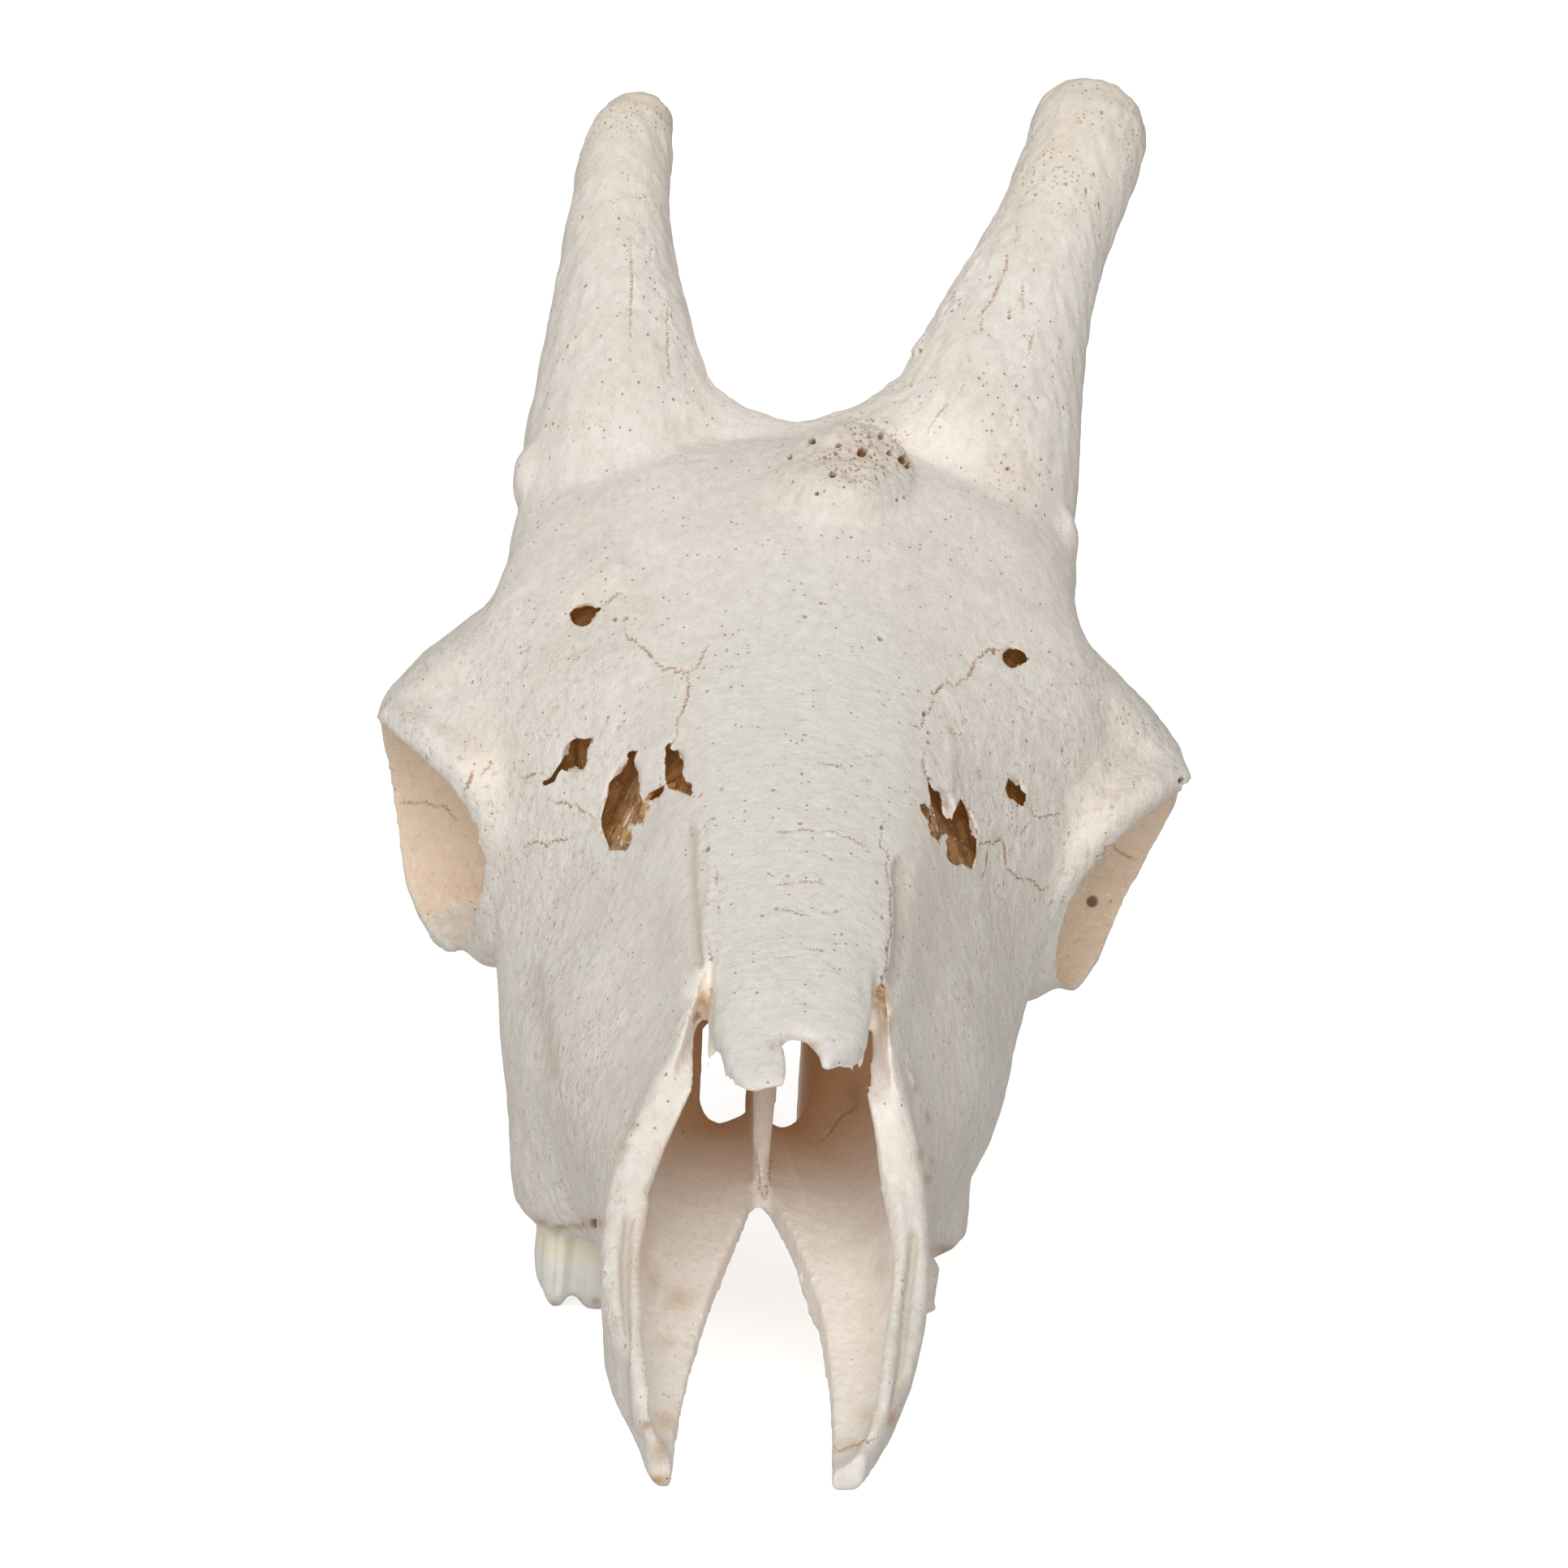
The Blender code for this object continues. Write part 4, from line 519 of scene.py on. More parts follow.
def noise(points, size, seed):
    """Smooth noise from -1 to 1 at each point, with lumps of about this size."""
    table = np.random.default_rng(seed).uniform(-1, 1, TABLE)
    place = points / size + 1000.0
    cell = np.floor(place).astype(np.int64)
    part = place - cell
    part = part * part * (3 - 2 * part)
    total = np.zeros(len(points))
    for corner in product((0, 1), repeat=3):
        total += table[table_places(cell + corner)] * np.where(corner, part, 1 - part).prod(axis=1)
    return total


def lumps(points, layers):
    """Layers of noise, each with its height, size and seed."""
    return sum(height * noise(points, size, seed) for height, size, seed in layers)


def cell_pits(points, size, half, seed):
    """1 in the middle of scattered cells and 0 in the walls between them, for spongy bone."""
    cell = np.floor(points / size).astype(np.int64)
    table = np.random.default_rng(seed).uniform(0, 1, (TABLE, 3))
    best = np.full(len(points), 9.0)
    for side in product((-1, 0, 1), repeat=3):
        other = cell + side
        away = np.linalg.norm(other + table[table_places(other)] - points / size, axis=1)
        best = np.minimum(best, away)
    return 1 - np.clip(best / half, 0, 1)


def ramp(values, low, high):
    """0 below low and 1 above high, with a soft step between."""
    part = np.clip((values - low) / (high - low), 0, 1)
    return part * part * (3 - 2 * part)


def blob(at, x, y, wide, high):
    """How far each point is from a spot of the picture, squared, in half widths and half heights."""
    return ((at.column - x) / wide) ** 2 + ((at.row - y) / high) ** 2


# Lines of sight

def sight(column, row):
    """The line of sight through a point of the picture, one metre ahead."""
    return (
        VIEW_AHEAD + VIEW_RIGHT * (column - PICTURE / 2) / FOCAL - VIEW_UP * (row - PICTURE / 2) / FOCAL
    )


def surface_depth(column, row):
    """Distance ahead at which the solid bones are seen at a point of the picture."""
    line = sight(column, row)
    place, _, _, away = state["solids"].ray_cast(VIEW_PLACE, line.normalized())
    return None if place is None else away / line.length


def vectors(items, label):
    """Three numbers of each item of a mesh, such as its place."""
    flat = np.empty(len(items) * 3)
    items.foreach_get(label, flat)
    return flat.reshape(-1, 3)


def read_points(obj):
    """The points of a surface: where they are, in the frame and in the picture, and how they face."""
    points = vectors(obj.data.vertices, "co")
    turned = vectors(obj.data.vertex_normals, "vector")
    away = points - np.array(VIEW_PLACE)
    depth = away @ np.array(VIEW_AHEAD)
    return SimpleNamespace(
        points=points, mm=points / MM, turned=turned, depth=depth, facing=-(turned @ np.array(VIEW_AHEAD)),
        column=PICTURE / 2 + FOCAL * (away @ np.array(VIEW_RIGHT)) / depth,
        row=PICTURE / 2 - FOCAL * (away @ np.array(VIEW_UP)) / depth,
    )


def move_points(obj, points):
    """Gives a surface new places for its points."""
    obj.data.vertices.foreach_set("co", points.ravel())
    obj.data.update()


# Meshes

def new_object(name, data):
    """An object in the scene for a mesh, a lamp or a camera."""
    obj = bpy.data.objects.new(name, data)
    bpy.context.scene.collection.objects.link(obj)
    return obj


def mesh_object(name, bm):
    """An object in the scene for a finished bmesh, which is freed."""
    mesh = bpy.data.meshes.new(name)
    bm.to_mesh(mesh)
    bm.free()
    return new_object(name, mesh)


def apply_modifier(obj, kind, **settings):
    """Adds one modifier with the settings given and makes it part of the mesh."""
    modifier = obj.modifiers.new(kind.title(), kind)
    for key, value in settings.items():
        setattr(modifier, key, value)
    graph = bpy.context.evaluated_depsgraph_get()
    graph.update()
    shaped = bpy.data.meshes.new_from_object(obj.evaluated_get(graph))
    obj.modifiers.remove(modifier)
    old = obj.data
    obj.data = shaped
    bpy.data.meshes.remove(old)


def read_solids():
    """Joins the solid bones, grown to meet, and keeps them for measuring: one tree, and each face's bone."""
    points = []
    faces = []
    owner = []
    joined = bmesh.new()
    for index, name in enumerate(BONES):
        bm = bmesh.new()
        bm.from_mesh(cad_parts[name].data)
        bmesh.ops.remove_doubles(bm, verts=bm.verts, dist=0.02 * MM)
        bm.normal_update()
        first = len(points)
        points += [vert.co.copy() for vert in bm.verts]
        faces += [[first + vert.index for vert in face.verts] for face in bm.faces]
        owner += [index] * len(bm.faces)
        for vert in bm.verts:
            vert.co += vert.normal * bpy.context.scene.skull_shape.joint_fill
        mesh = bpy.data.meshes.new("grown")
        bm.to_mesh(mesh)
        bm.free()
        joined.from_mesh(mesh)
        bpy.data.meshes.remove(mesh)
    state["solids"] = BVHTree.FromPolygons(points, faces)
    state["owner"] = owner
    return mesh_object("fine", joined)


def nudge(fine):
    """Moves a few places of the surface by a little."""
    at = read_points(fine)
    for x, y, reach, right, up in NUDGES:
        seen = surface_depth(x, y - reach)
        part = np.exp(-blob(at, x, y, reach, reach)) * (np.abs(at.depth - seen) < NUDGE_SLACK)
        at.points += part[:, None] * MM * (right * np.array(VIEW_RIGHT) + up * np.array(VIEW_UP))
    move_points(fine, at.points)


def gap_rings(outline):
    """Rings of a cutter along the lines of sight through a torn outline, wider inside the bone."""
    centre = np.mean(outline, axis=0)
    depths = []
    for point in outline:
        outward = np.array(point) - centre
        away = outward * (1 + GAP_MARGIN / max(np.linalg.norm(outward), 4)) + centre
        depth = surface_depth(*away)
        depths.append(depth if depth is not None else np.nan)
    middle = np.nanmedian(depths)
    depths = [d if d == d and abs(d - middle) < GAP_SLACK else middle for d in depths]
    state.setdefault("gap_depths", []).append((np.array(outline, float), np.array(depths)))
    rings = []
    for ahead, scale in (
        (GAP_START, 1.0), (GAP_WALL, 1.0), (GAP_WALL + 2, GAP_SPREAD), (GAP_DEPTH, GAP_SPREAD),
    ):
        ring = []
        for point, depth in zip(outline, depths):
            column, row = centre + (np.array(point) - centre) * scale
            ring.append(VIEW_PLACE + sight(column, row) * (depth + ahead * MM))
        rings.append(ring)
    return rings


def add_rings(bm, rings):
    """Adds a closed body through rings of equal length."""
    rows = [[bm.verts.new(point) for point in ring] for ring in rings]
    for lower, upper in zip(rows, rows[1:]):
        for i in range(len(lower)):
            j = (i + 1) % len(lower)
            bm.faces.new((lower[i], lower[j], upper[j], upper[i]))
    caps = [bm.faces.new(rows[0]), bm.faces.new(reversed(rows[-1]))]
    bmesh.ops.triangulate(bm, faces=caps)


def cut_gaps(fine):
    """Cuts the torn gaps out of the fine surface."""
    bm = bmesh.new()
    for outline in GAPS:
        add_rings(bm, gap_rings(outline))
    bmesh.ops.recalc_face_normals(bm, faces=bm.faces)
    state["cuts"] = BVHTree.FromBMesh(bm)
    cutter = mesh_object("gaps", bm)
    apply_modifier(fine, "BOOLEAN", object=cutter, operation="DIFFERENCE", solver="MANIFOLD")
    bpy.data.objects.remove(cutter)


def line_samples(table, spread=1.0, shake=0.0):
    """Points closely along every line of a table: column, row, depth, half width, height, length."""
    samples = []
    for width, height, path in table:
        total = sum(math.dist(start, end) for start, end in zip(path, path[1:]))
        length = 0.0
        for start, end in zip(path, path[1:]):
            steps = max(int(math.dist(start, end)), 1)
            for step in range(steps):
                column = start[0] + (end[0] - start[0]) * (step / steps)
                row = start[1] + (end[1] - start[1]) * (step / steps)
                column += shake * math.sin(1.9 * length + 3 * math.sin(0.37 * length))
                row += shake * math.sin(1.3 * length + 2 * math.sin(0.53 * length))
                depth = surface_depth(column, row)
                if depth is not None:
                    taper = min(1.0, (length + 2) / LINE_END, (total - length + 2) / LINE_END)
                    half = width * spread / 2 * (0.4 + 0.6 * taper)
                    samples.append((column, row, depth, half, height * taper, length))
                length += 1
    return np.array(samples)


def near_lines(at, samples, reach, slack):
    """Distance in the picture from each point to the nearest line, and that line's values there."""
    tree = KDTree(len(samples))
    for index, sample in enumerate(samples):
        tree.insert((sample[0], sample[1], 0), index)
    tree.balance()
    distance = np.full(len(at.points), 99.0)
    values = np.tile((1.0, 0.0, 0.0), (len(at.points), 1))
    low = samples.min(axis=0) - reach
    high = samples.max(axis=0) + reach
    inside = (at.column > low[0]) & (at.column < high[0]) & (at.row > low[1]) & (at.row < high[1])
    for index in np.nonzero(inside)[0]:
        _, which, away = tree.find((at.column[index], at.row[index], 0))
        if away < reach and abs(at.depth[index] - samples[which, 2]) < slack:
            distance[index] = away
            values[index] = samples[which, 3:]
    return distance, *values.T


def line_height(at, table, reach, slack):
    """Height in mm that the lines of a table give each point, and the length along the line there."""
    away, half, height, along = near_lines(at, line_samples(table), reach, slack)
    return height * np.exp(-((away / half) ** 2)), along


def seen_holes(at):
    """For each small hole its radius, how far the points are from it, and which lie near its depth."""
    for x, y, radius in HOLES:
        depth = surface_depth(x, y)
        if depth is not None:
            yield radius, np.hypot(at.column - x, at.row - y), np.abs(at.depth - depth) < HOLE_SLACK


def refine(fine, seams):
    """Makes the surface finer along the seams, the folds and round the small holes."""
    folds = line_samples(FOLDS + BEADS)
    for reach, fold_reach in FINER:
        at = read_points(fine)
        close = near_lines(at, seams, reach, LINE_SLACK)[0] < reach
        close |= near_lines(at, folds, FINER[0][1], FOLD_SLACK)[0] < fold_reach
        for radius, away, level in seen_holes(at):
            close |= (away < radius + reach) & level
        bm = bmesh.new()
        bm.from_mesh(fine.data)
        edges = [edge for edge in bm.edges if close[edge.verts[0].index] and close[edge.verts[1].index]]
        bmesh.ops.subdivide_edges(bm, edges=edges, cuts=1, use_grid_fill=True)
        bmesh.ops.triangulate(bm, faces=[face for face in bm.faces if len(face.verts) > 4])
        bm.to_mesh(fine.data)
        bm.free()


# Masks

def feel_hollow(point, normal, rays):
    """The share of rays from just off a point that meet bone, or None where the point is buried."""
    place = point + normal * HOLLOW_LIFT
    shut = 0.0
    total = 0.0
    for ray in rays:
        facing = ray.dot(normal)
        line = ray if facing > 0 else -ray
        total += abs(facing)
        hit, turn, _, _ = state["solids"].ray_cast(place, line, HOLLOW_LENGTH)
        if hit is not None:
            shut += abs(facing)
            if turn.dot(line) > 0:
                return None
    return shut / total


def hollow_mask(at):
    """How deep each point lies in the skull, from 0 in the open to 1 deep inside."""
    rng = np.random.default_rng(5)
    chosen = rng.choice(len(at.points), HOLLOW_POINTS, replace=False)
    rays = rng.normal(size=(HOLLOW_RAYS, 3))
    rays = [Vector(ray) for ray in rays / np.linalg.norm(rays, axis=1)[:, None]]
    tree = KDTree(len(chosen))
    values = []
    turned = []
    for index in chosen:
        point = Vector(at.points[index])
        normal = Vector(at.turned[index])
        value = feel_hollow(point, normal, rays)
        if value is not None:
            tree.insert(point + normal * HOLLOW_STEP, len(values))
            values.append(value)
            turned.append(at.turned[index])
    tree.balance()
    values = np.array(values)
    turned = np.array(turned)
    mask = np.empty(len(at.points))
    for index, point in enumerate(at.points + at.turned * HOLLOW_STEP):
        near = tree.find_n(point, HOLLOW_NEIGHBOURS)
        which = [k for _, k, _ in near]
        weights = np.clip(turned[which] @ at.turned[index], 0.02, 1) ** 2
        weights /= np.array([away for _, _, away in near]) + 0.003
        mask[index] = values[which] @ weights / weights.sum()
    for rim in RIMS:
        mask *= 1 - np.exp(-blob(at, *rim) ** 2) * (at.facing > 0)
    return mask


def inside_outline(column, row, outline):
    """Which points of the picture lie within a closed outline."""
    inside = np.zeros(len(column), bool)
    for (x1, y1), (x2, y2) in zip(outline, np.roll(outline, -1, axis=0)):
        crossing = (y1 > row) != (y2 > row)
        inside ^= crossing & (column < (x2 - x1) * (row - y1) / (y2 - y1 + 1e-9) + x1)
    return inside


def gap_mask(at, tree):
    """1 on the walls of the torn gaps and on what shows through them."""
    mask = np.zeros(len(at.points))
    for outline, depths in state["gap_depths"]:
        centre = outline.mean(axis=0)
        near = np.nonzero(np.hypot(at.column - centre[0], at.row - centre[1]) < 90)[0]
        column, row = at.column[near], at.row[near]
        away = np.hypot(column[:, None] - outline[:, 0], row[:, None] - outline[:, 1])
        beyond = ramp(at.depth[near] - depths[away.argmin(axis=1)], 0.6 * MM, 1.9 * MM)
        seen = inside_outline(column, row, centre + (outline - centre) * 1.04)
        for index, part, open_to_sight in zip(near, beyond, seen):
            if part <= mask[index]:
                continue
            point = Vector(at.points[index])
            line = point - VIEW_PLACE
            hit = tree.ray_cast(VIEW_PLACE, line.normalized())[3] if open_to_sight else None
            if hit is not None and hit > line.length - GAP_REACH:
                mask[index] = part
            elif state["cuts"].find_nearest(point, CUT_REACH)[0] is not None:
                mask[index] = part
    return mask


def stain_and_shade_mask(at):
    """How stained each point is, with the painted shade among the stains."""
    mask = np.zeros(len(at.points))
    for *spot, strongest in STAINS_AND_SHADE:
        mask = np.maximum(mask, strongest * np.exp(-blob(at, *spot)))
    return mask * ramp(at.facing, 0.0, 0.2)


def bridge_mask(at):
    """1 on the whiter nose bridge."""
    rows, left, right = (np.array(values, float) for values in zip(*BRIDGE))
    left = np.interp(at.row, rows, left)
    right = np.interp(at.row, rows, right)
    soft = np.interp(at.row, (600, 950, 1060), (70, 40, 14))
    inner = ramp(at.column, left - soft / 2, left + soft)
    outer = 1 - ramp(at.column, right - soft, right + soft / 2)
    ends = ramp(at.row, *BRIDGE_START) * (1 - ramp(at.row, *BRIDGE_END))
    return inner * outer * ends * ramp(at.facing, 0.1, 0.35)


def kinds_of_bone(at):
    """Masks for the kinds of bone: teeth, nose bridge, flaky sides, horns, and the knob with its sponge."""
    x, y, z = at.mm.T
    tooth = ramp(y, *TOOTH_FRONT) * (1 - ramp(y, *TOOTH_BACK)) * (1 - ramp(z, *TOOTH_TOP))
    tooth *= ramp(np.abs(x - TOOTH_MIDDLE), *TOOTH_SIDE)
    flaky = ramp(np.abs(x), *FLAKY_SIDE) * (1 - ramp(z, *FLAKY_TOP)) * ramp(at.facing, -0.3, 0.2)
    flaky *= (1 - tooth) * (0.45 + 0.55 * ramp(noise(at.mm, 17, 19), -0.3, 0.3))
    spots = [strongest * np.exp(-blob(at, *spot)) for *spot, strongest in KNOBS]
    spots[0] *= ramp(at.facing, -0.2, 0.1)
    knob = np.maximum(*spots) * ramp(z, *KNOB_START)
    size, half, _, seed = KNOB_SPONGE
    return SimpleNamespace(
        tooth=tooth, bridge=bridge_mask(at), flaky=flaky, horn=ramp(z, *HORN_START), knob=knob,
        sponge=cell_pits(at.mm, size, half, seed),
    )


def worn_height(at, bone):
    """Height in metres of the unevenness of old bone, with its flakes, wrinkles and grain."""
    shape = bpy.context.scene.skull_shape
    height = shape.swell * lumps(at.mm, SWELLS) + shape.rough * lumps(at.mm, ROUGHNESS)
    height *= 1 - 0.9 * bone.tooth
    height += FLAKE_HEIGHT * MM * bone.flaky * (noise(at.mm, 2.7, 20) - np.abs(noise(at.mm, 3.6, 21)))
    wave = np.sin((at.row + 9 * noise(at.mm, 14, 7)) / WRINKLE_LENGTH * 2 * math.pi)
    wave *= ramp(at.row, *WRINKLE_START) * (1 - ramp(at.row, *WRINKLE_END))
    height += bone.bridge * (shape.ripple * wave + MM * lumps(at.mm, BRIDGE_GRAIN))
    height += bone.horn * MM * lumps(at.mm, HORN_GRAIN)
    height += bone.knob * MM * (lumps(at.mm, KNOB_LUMPS) - KNOB_SPONGE[2] * bone.sponge)
    size, half, depth, seed = TIP_SPONGE
    tip = bone.horn * ramp(at.mm[:, 2], *HORN_SPONGE)
    return height - tip * MM * depth * cell_pits(at.mm, size, half, seed)


def shape_surface(fine):
    """Wears, pits and cracks the fine surface, and writes the masks that its finish uses."""
    seams = line_samples(SEAMS, SEAM_SPREAD, SEAM_SHAKE)
    refine(fine, seams)
    at = read_points(fine)
    bone = kinds_of_bone(at)
    height = worn_height(at, bone) - bpy.context.scene.skull_shape.joint_fill
    fold, _ = line_height(at, FOLDS, FOLD_REACH, FOLD_SLACK)
    height += fold * MM * ramp(at.facing, -0.1, 0.15)
    bead, along = line_height(at, BEADS, BEAD_REACH, BEAD_SLACK)
    turns = along / BEAD_LENGTH * 2 * math.pi + 5 * noise(at.mm, 6, 14)
    height += bead * MM * (0.5 + 0.2 * np.sin(turns) + 1.1 * noise(at.mm, 2.6, 15))
    distance, half, cut, _ = near_lines(at, seams, SEAM_REACH, LINE_SLACK)
    edge = np.clip(1 - distance / half, 0, 1)
    height -= cut * MM * edge ** 0.7
    # Painted shade in the spongy pits of the knob, and below in the small holes
    pit = 0.6 * bone.knob * np.clip(bone.sponge * 2.2 - 0.9, 0, 1)
    for radius, away, level in seen_holes(at):
        away = away / radius
        close = level * (at.facing > 0)
        dark = 0.6 + 0.4 * ramp(radius, 1.8, 4)
        pit = np.maximum(pit, dark * ramp(1.3 - away, 0, 0.6) * close)
        height -= close * HOLE_DEPTH * np.clip(1.15 - away, 0, 1) ** 0.6 * min(radius / 3, 1.4)
    x, y, z = at.mm.T
    hollow = hollow_mask(at)
    passage = ramp(y, *PASSAGE_FRONT) * (1 - ramp(y, *PASSAGE_BACK)) * (1 - ramp(np.abs(x), *PASSAGE_SIDE))
    porous = bone.horn * ramp(z, *HORN_PORES) * (0.65 + 0.35 * noise(at.mm, 16, 23))
    faces = [tuple(face.vertices) for face in fine.data.polygons]
    masks = {
        # Dark seams and cracks, with the painted shadow in the notches of the nose
        "seam_and_shadow": np.clip(edge * 1.7, 0, 1) * (0.35 + 0.65 * ramp(noise(at.mm, 2.3, 18), -0.45, 0.15)),
        "hollow": hollow,
        # Where the passage lies deep, which is painted with shade
        "deep": passage * ramp(hollow, 0.55, 0.8),
        "gap": gap_mask(at, BVHTree.FromPolygons(at.points.tolist(), faces)),
        "socket": ramp(np.abs(x), *SOCKET_SIDE) * ramp(y, *SOCKET_FRONT),
        "flaky": bone.flaky,
        "bridge": bone.bridge,
        "tooth": bone.tooth,
        "pit": pit,
        "porous": bone.knob * 1.4 + porous,
        "horn": bone.horn,
        "tip": bone.horn * ramp(z, *HORN_WARMTH) * (0.55 + 0.45 * noise(at.mm, 13, 24)),
        "stain_and_shade": stain_and_shade_mask(at),
        # Depth of the grooves, where painted shade is laid
        "relief": -fold,
    }
    move_points(fine, at.points + at.turned * height[:, None])
    for name, values in masks.items():
        layer = fine.data.attributes.new(name, "FLOAT", "POINT")
        layer.data.foreach_set("value", np.clip(values, 0, 1).astype(np.float32))


def face_owners(fine):
    """The index of the bone that each face of the fine surface belongs to."""
    find = state["solids"].find_nearest
    return np.array([state["owner"][find(centre)[2]] for centre in vectors(fine.data.polygons, "center")])


def take_bone(name):
    """Makes one bone of its share of the fine surface."""
    index = list(BONES).index(name)
    bm = bmesh.new()
    bm.from_mesh(state["fine"].data)
    others = [face for face in bm.faces if state["face_owners"][face.index] != index]
    bmesh.ops.delete(bm, geom=others, context="FACES")
    return mesh_object(name + "_bone", bm)


# Nodes

COLOUR = "NodeSocketColor"
VALUE = "NodeSocketFloat"
VECTOR = "NodeSocketVector"


def fill(tree, made, values):
    """Sets the inputs of a node, or links them to the outputs given, and returns the node."""
    for key, value in values.items():
        if isinstance(value, bpy.types.NodeSocket):
            tree.links.new(value, made.inputs[key])
        else:
            made.inputs[key].default_value = value
    return made


def node(tree, kind, values, **settings):
    """A new node with its settings and inputs."""
    made = tree.nodes.new(kind)
    for key, value in settings.items():
        setattr(made, key, value)
    return fill(tree, made, values)


def maths(tree, operation, *values):
    """The result of one sum on sockets or numbers."""
    return node(tree, "ShaderNodeMath", dict(enumerate(values)), operation=operation).outputs[0]


def times(tree, first, second):
    """The product of two sockets or numbers."""
    return maths(tree, "MULTIPLY", first, second)


def step(tree, value, low, high):
    """A soft step of a socket from 0 at low to 1 at high."""
    values = {"Value": value, "From Min": low, "From Max": high}
    return node(tree, "ShaderNodeMapRange", values, interpolation_type="SMOOTHSTEP").outputs["Result"]


def blend(tree, part, first, second):
    """A mix of two colours."""
    return node(tree, "ShaderNodeMix", {0: part, 6: first, 7: second}, data_type="RGBA").outputs[2]


def clouds(tree, vector, scale, detail, roughness=0.5, distortion=0.0):
    """Soft noise at a vector."""
    values = {
        "Vector": vector, "Scale": scale, "Detail": detail, "Roughness": roughness, "Distortion": distortion,
    }
    return node(tree, "ShaderNodeTexNoise", values).outputs["Fac"]


def own_place(tree):
    """The place of a point on its bone."""
    return tree.nodes.new("ShaderNodeTexCoord").outputs["Object"]


def stretched(tree, stretch):
    """The place of a point on its bone, stretched along the grain."""
    values = {0: own_place(tree), 1: stretch}
    return node(tree, "ShaderNodeVectorMath", values, operation="MULTIPLY").outputs[0]


def new_group(name, inputs, outputs):
    """A node group with its sockets, the outputs of its input node, and its output node."""
    group = bpy.data.node_groups.new(name, "ShaderNodeTree")
    for way, sockets in (("INPUT", inputs), ("OUTPUT", outputs)):
        for label, kind in sockets.items():
            group.interface.new_socket(label, in_out=way, socket_type=kind)
    return group, group.nodes.new("NodeGroupInput").outputs, group.nodes.new("NodeGroupOutput")


def tone_group(name):
    """Clouds of bleached and creamier bone, with fine mottling."""
    inputs = {"Bone": COLOUR, "Bleached": COLOUR, "Bridge": COLOUR, "Bridge Mask": VALUE}
    group, given, result = new_group(name, inputs, {"Color": COLOUR})
    place = own_place(group)
    bleached = step(group, clouds(group, place, scale=26.0, detail=3.0, roughness=0.6), 0.38, 0.66)
    mottle = step(group, clouds(group, place, scale=210.0, detail=4.0, roughness=0.7), 0.42, 0.72)
    specks = step(group, clouds(group, place, scale=900.0, detail=2.0, roughness=0.6), 0.62, 0.38)
    base = blend(group, bleached, given["Bone"], given["Bleached"])
    base = blend(group, given["Bridge Mask"], base, given["Bridge"])
    base = blend(group, times(group, mottle, 0.28), base, MOTTLE)
    base = blend(group, times(group, specks, 0.10), base, SPECK)
    fill(group, result, {"Color": base})
    return group


def hollow_group(name):
    """Warmer bone inside the hollows, painted lighter than the open bone and ruddy with painted shade deep
    in the passage, and dark amber with painted shade in the gaps, with a painted glow in both.
    """
    colours = ("Color", "Tan", "Ruddy", "Amber", "Socket", "Gap Glow", "Light Amber")
    masks = ("Hollow", "Deep", "Gap", "Socket Mask")
    inputs = {**dict.fromkeys(colours, COLOUR), **dict.fromkeys(masks, VALUE)}
    group, given, result = new_group(name, inputs, {"Color": COLOUR, "Glow": COLOUR})
    place = own_place(group)
    uneven = maths(group, "MULTIPLY_ADD", clouds(group, place, scale=40.0, detail=3.0), 0.16, 0.42)
    inside = step(group, maths(group, "ADD", given["Hollow"], uneven), 0.48, 0.85)
    streaks = step(group, clouds(group, place, scale=170.0, detail=3.0, roughness=0.6), 0.40, 0.62)
    tan = blend(group, given["Socket Mask"], given["Tan"], given["Socket"])
    # Inside the hollows the bone is painted a lighter, warmer tan
    base = blend(group, inside, given["Color"], tan)
    # Deep in the passage the bone is ruddy, with painted shade
    base = blend(group, given["Deep"], base, given["Ruddy"])
    # The gaps are painted dark amber, with painted shade
    base = blend(group, given["Gap"], base, blend(group, streaks, given["Amber"], given["Light Amber"]))
    # Painted glow: the hollows shine with their colour, the gaps with the glow colour
    glow = blend(group, given["Gap"], blend(group, inside, BLACK, base), given["Gap Glow"])
    fill(group, result, {"Color": base, "Glow": glow})
    return group


def pore_group(name):
    """Small round pores where the mask allows them."""
    inputs = {"Scale": VALUE, "Amount": VALUE, "Size": VALUE, "Stretch": VECTOR}
    group, given, result = new_group(name, inputs, {"Mask": VALUE})
    values = {"Vector": stretched(group, given["Stretch"]), "Scale": given["Scale"]}
    cells = node(group, "ShaderNodeTexVoronoi", values).outputs
    chance = node(group, "ShaderNodeSeparateColor", {0: cells["Color"]}).outputs[0]
    where = step(group, clouds(group, own_place(group), scale=60.0, detail=3.0), 0.35, 0.65)
    pick = maths(group, "LESS_THAN", chance, times(group, given["Amount"], where))
    near = step(group, cells["Distance"], given["Size"], 0.05)
    fill(group, result, {"Mask": times(group, near, pick)})
    return group


def grain_group(name):
    """The fine fibres of bone along one direction as a height, with pale and dull flecks between them."""
    inputs = {"Stretch": VECTOR, "Scale": VALUE}
    outputs = dict.fromkeys(("Height", "Flake", "Fleck", "Fleck Shade"), VALUE)
    group, given, result = new_group(name, inputs, outputs)
    along = stretched(group, given["Stretch"])
    fibres = clouds(group, along, given["Scale"], detail=5.0, roughness=0.62, distortion=0.6)
    flakes = clouds(group, own_place(group), scale=520.0, detail=4.0, roughness=0.75)
    fill(group, result, {
        "Height": maths(group, "ADD", times(group, fibres, 0.6), times(group, flakes, 0.4)),
        "Flake": step(group, fibres, 0.60, 0.36),
        "Fleck": times(group, step(group, flakes, 0.56, 0.70), step(group, fibres, 0.40, 0.60)),
        "Fleck Shade": times(group, step(group, flakes, 0.46, 0.34), step(group, fibres, 0.58, 0.42)),
    })
    return group


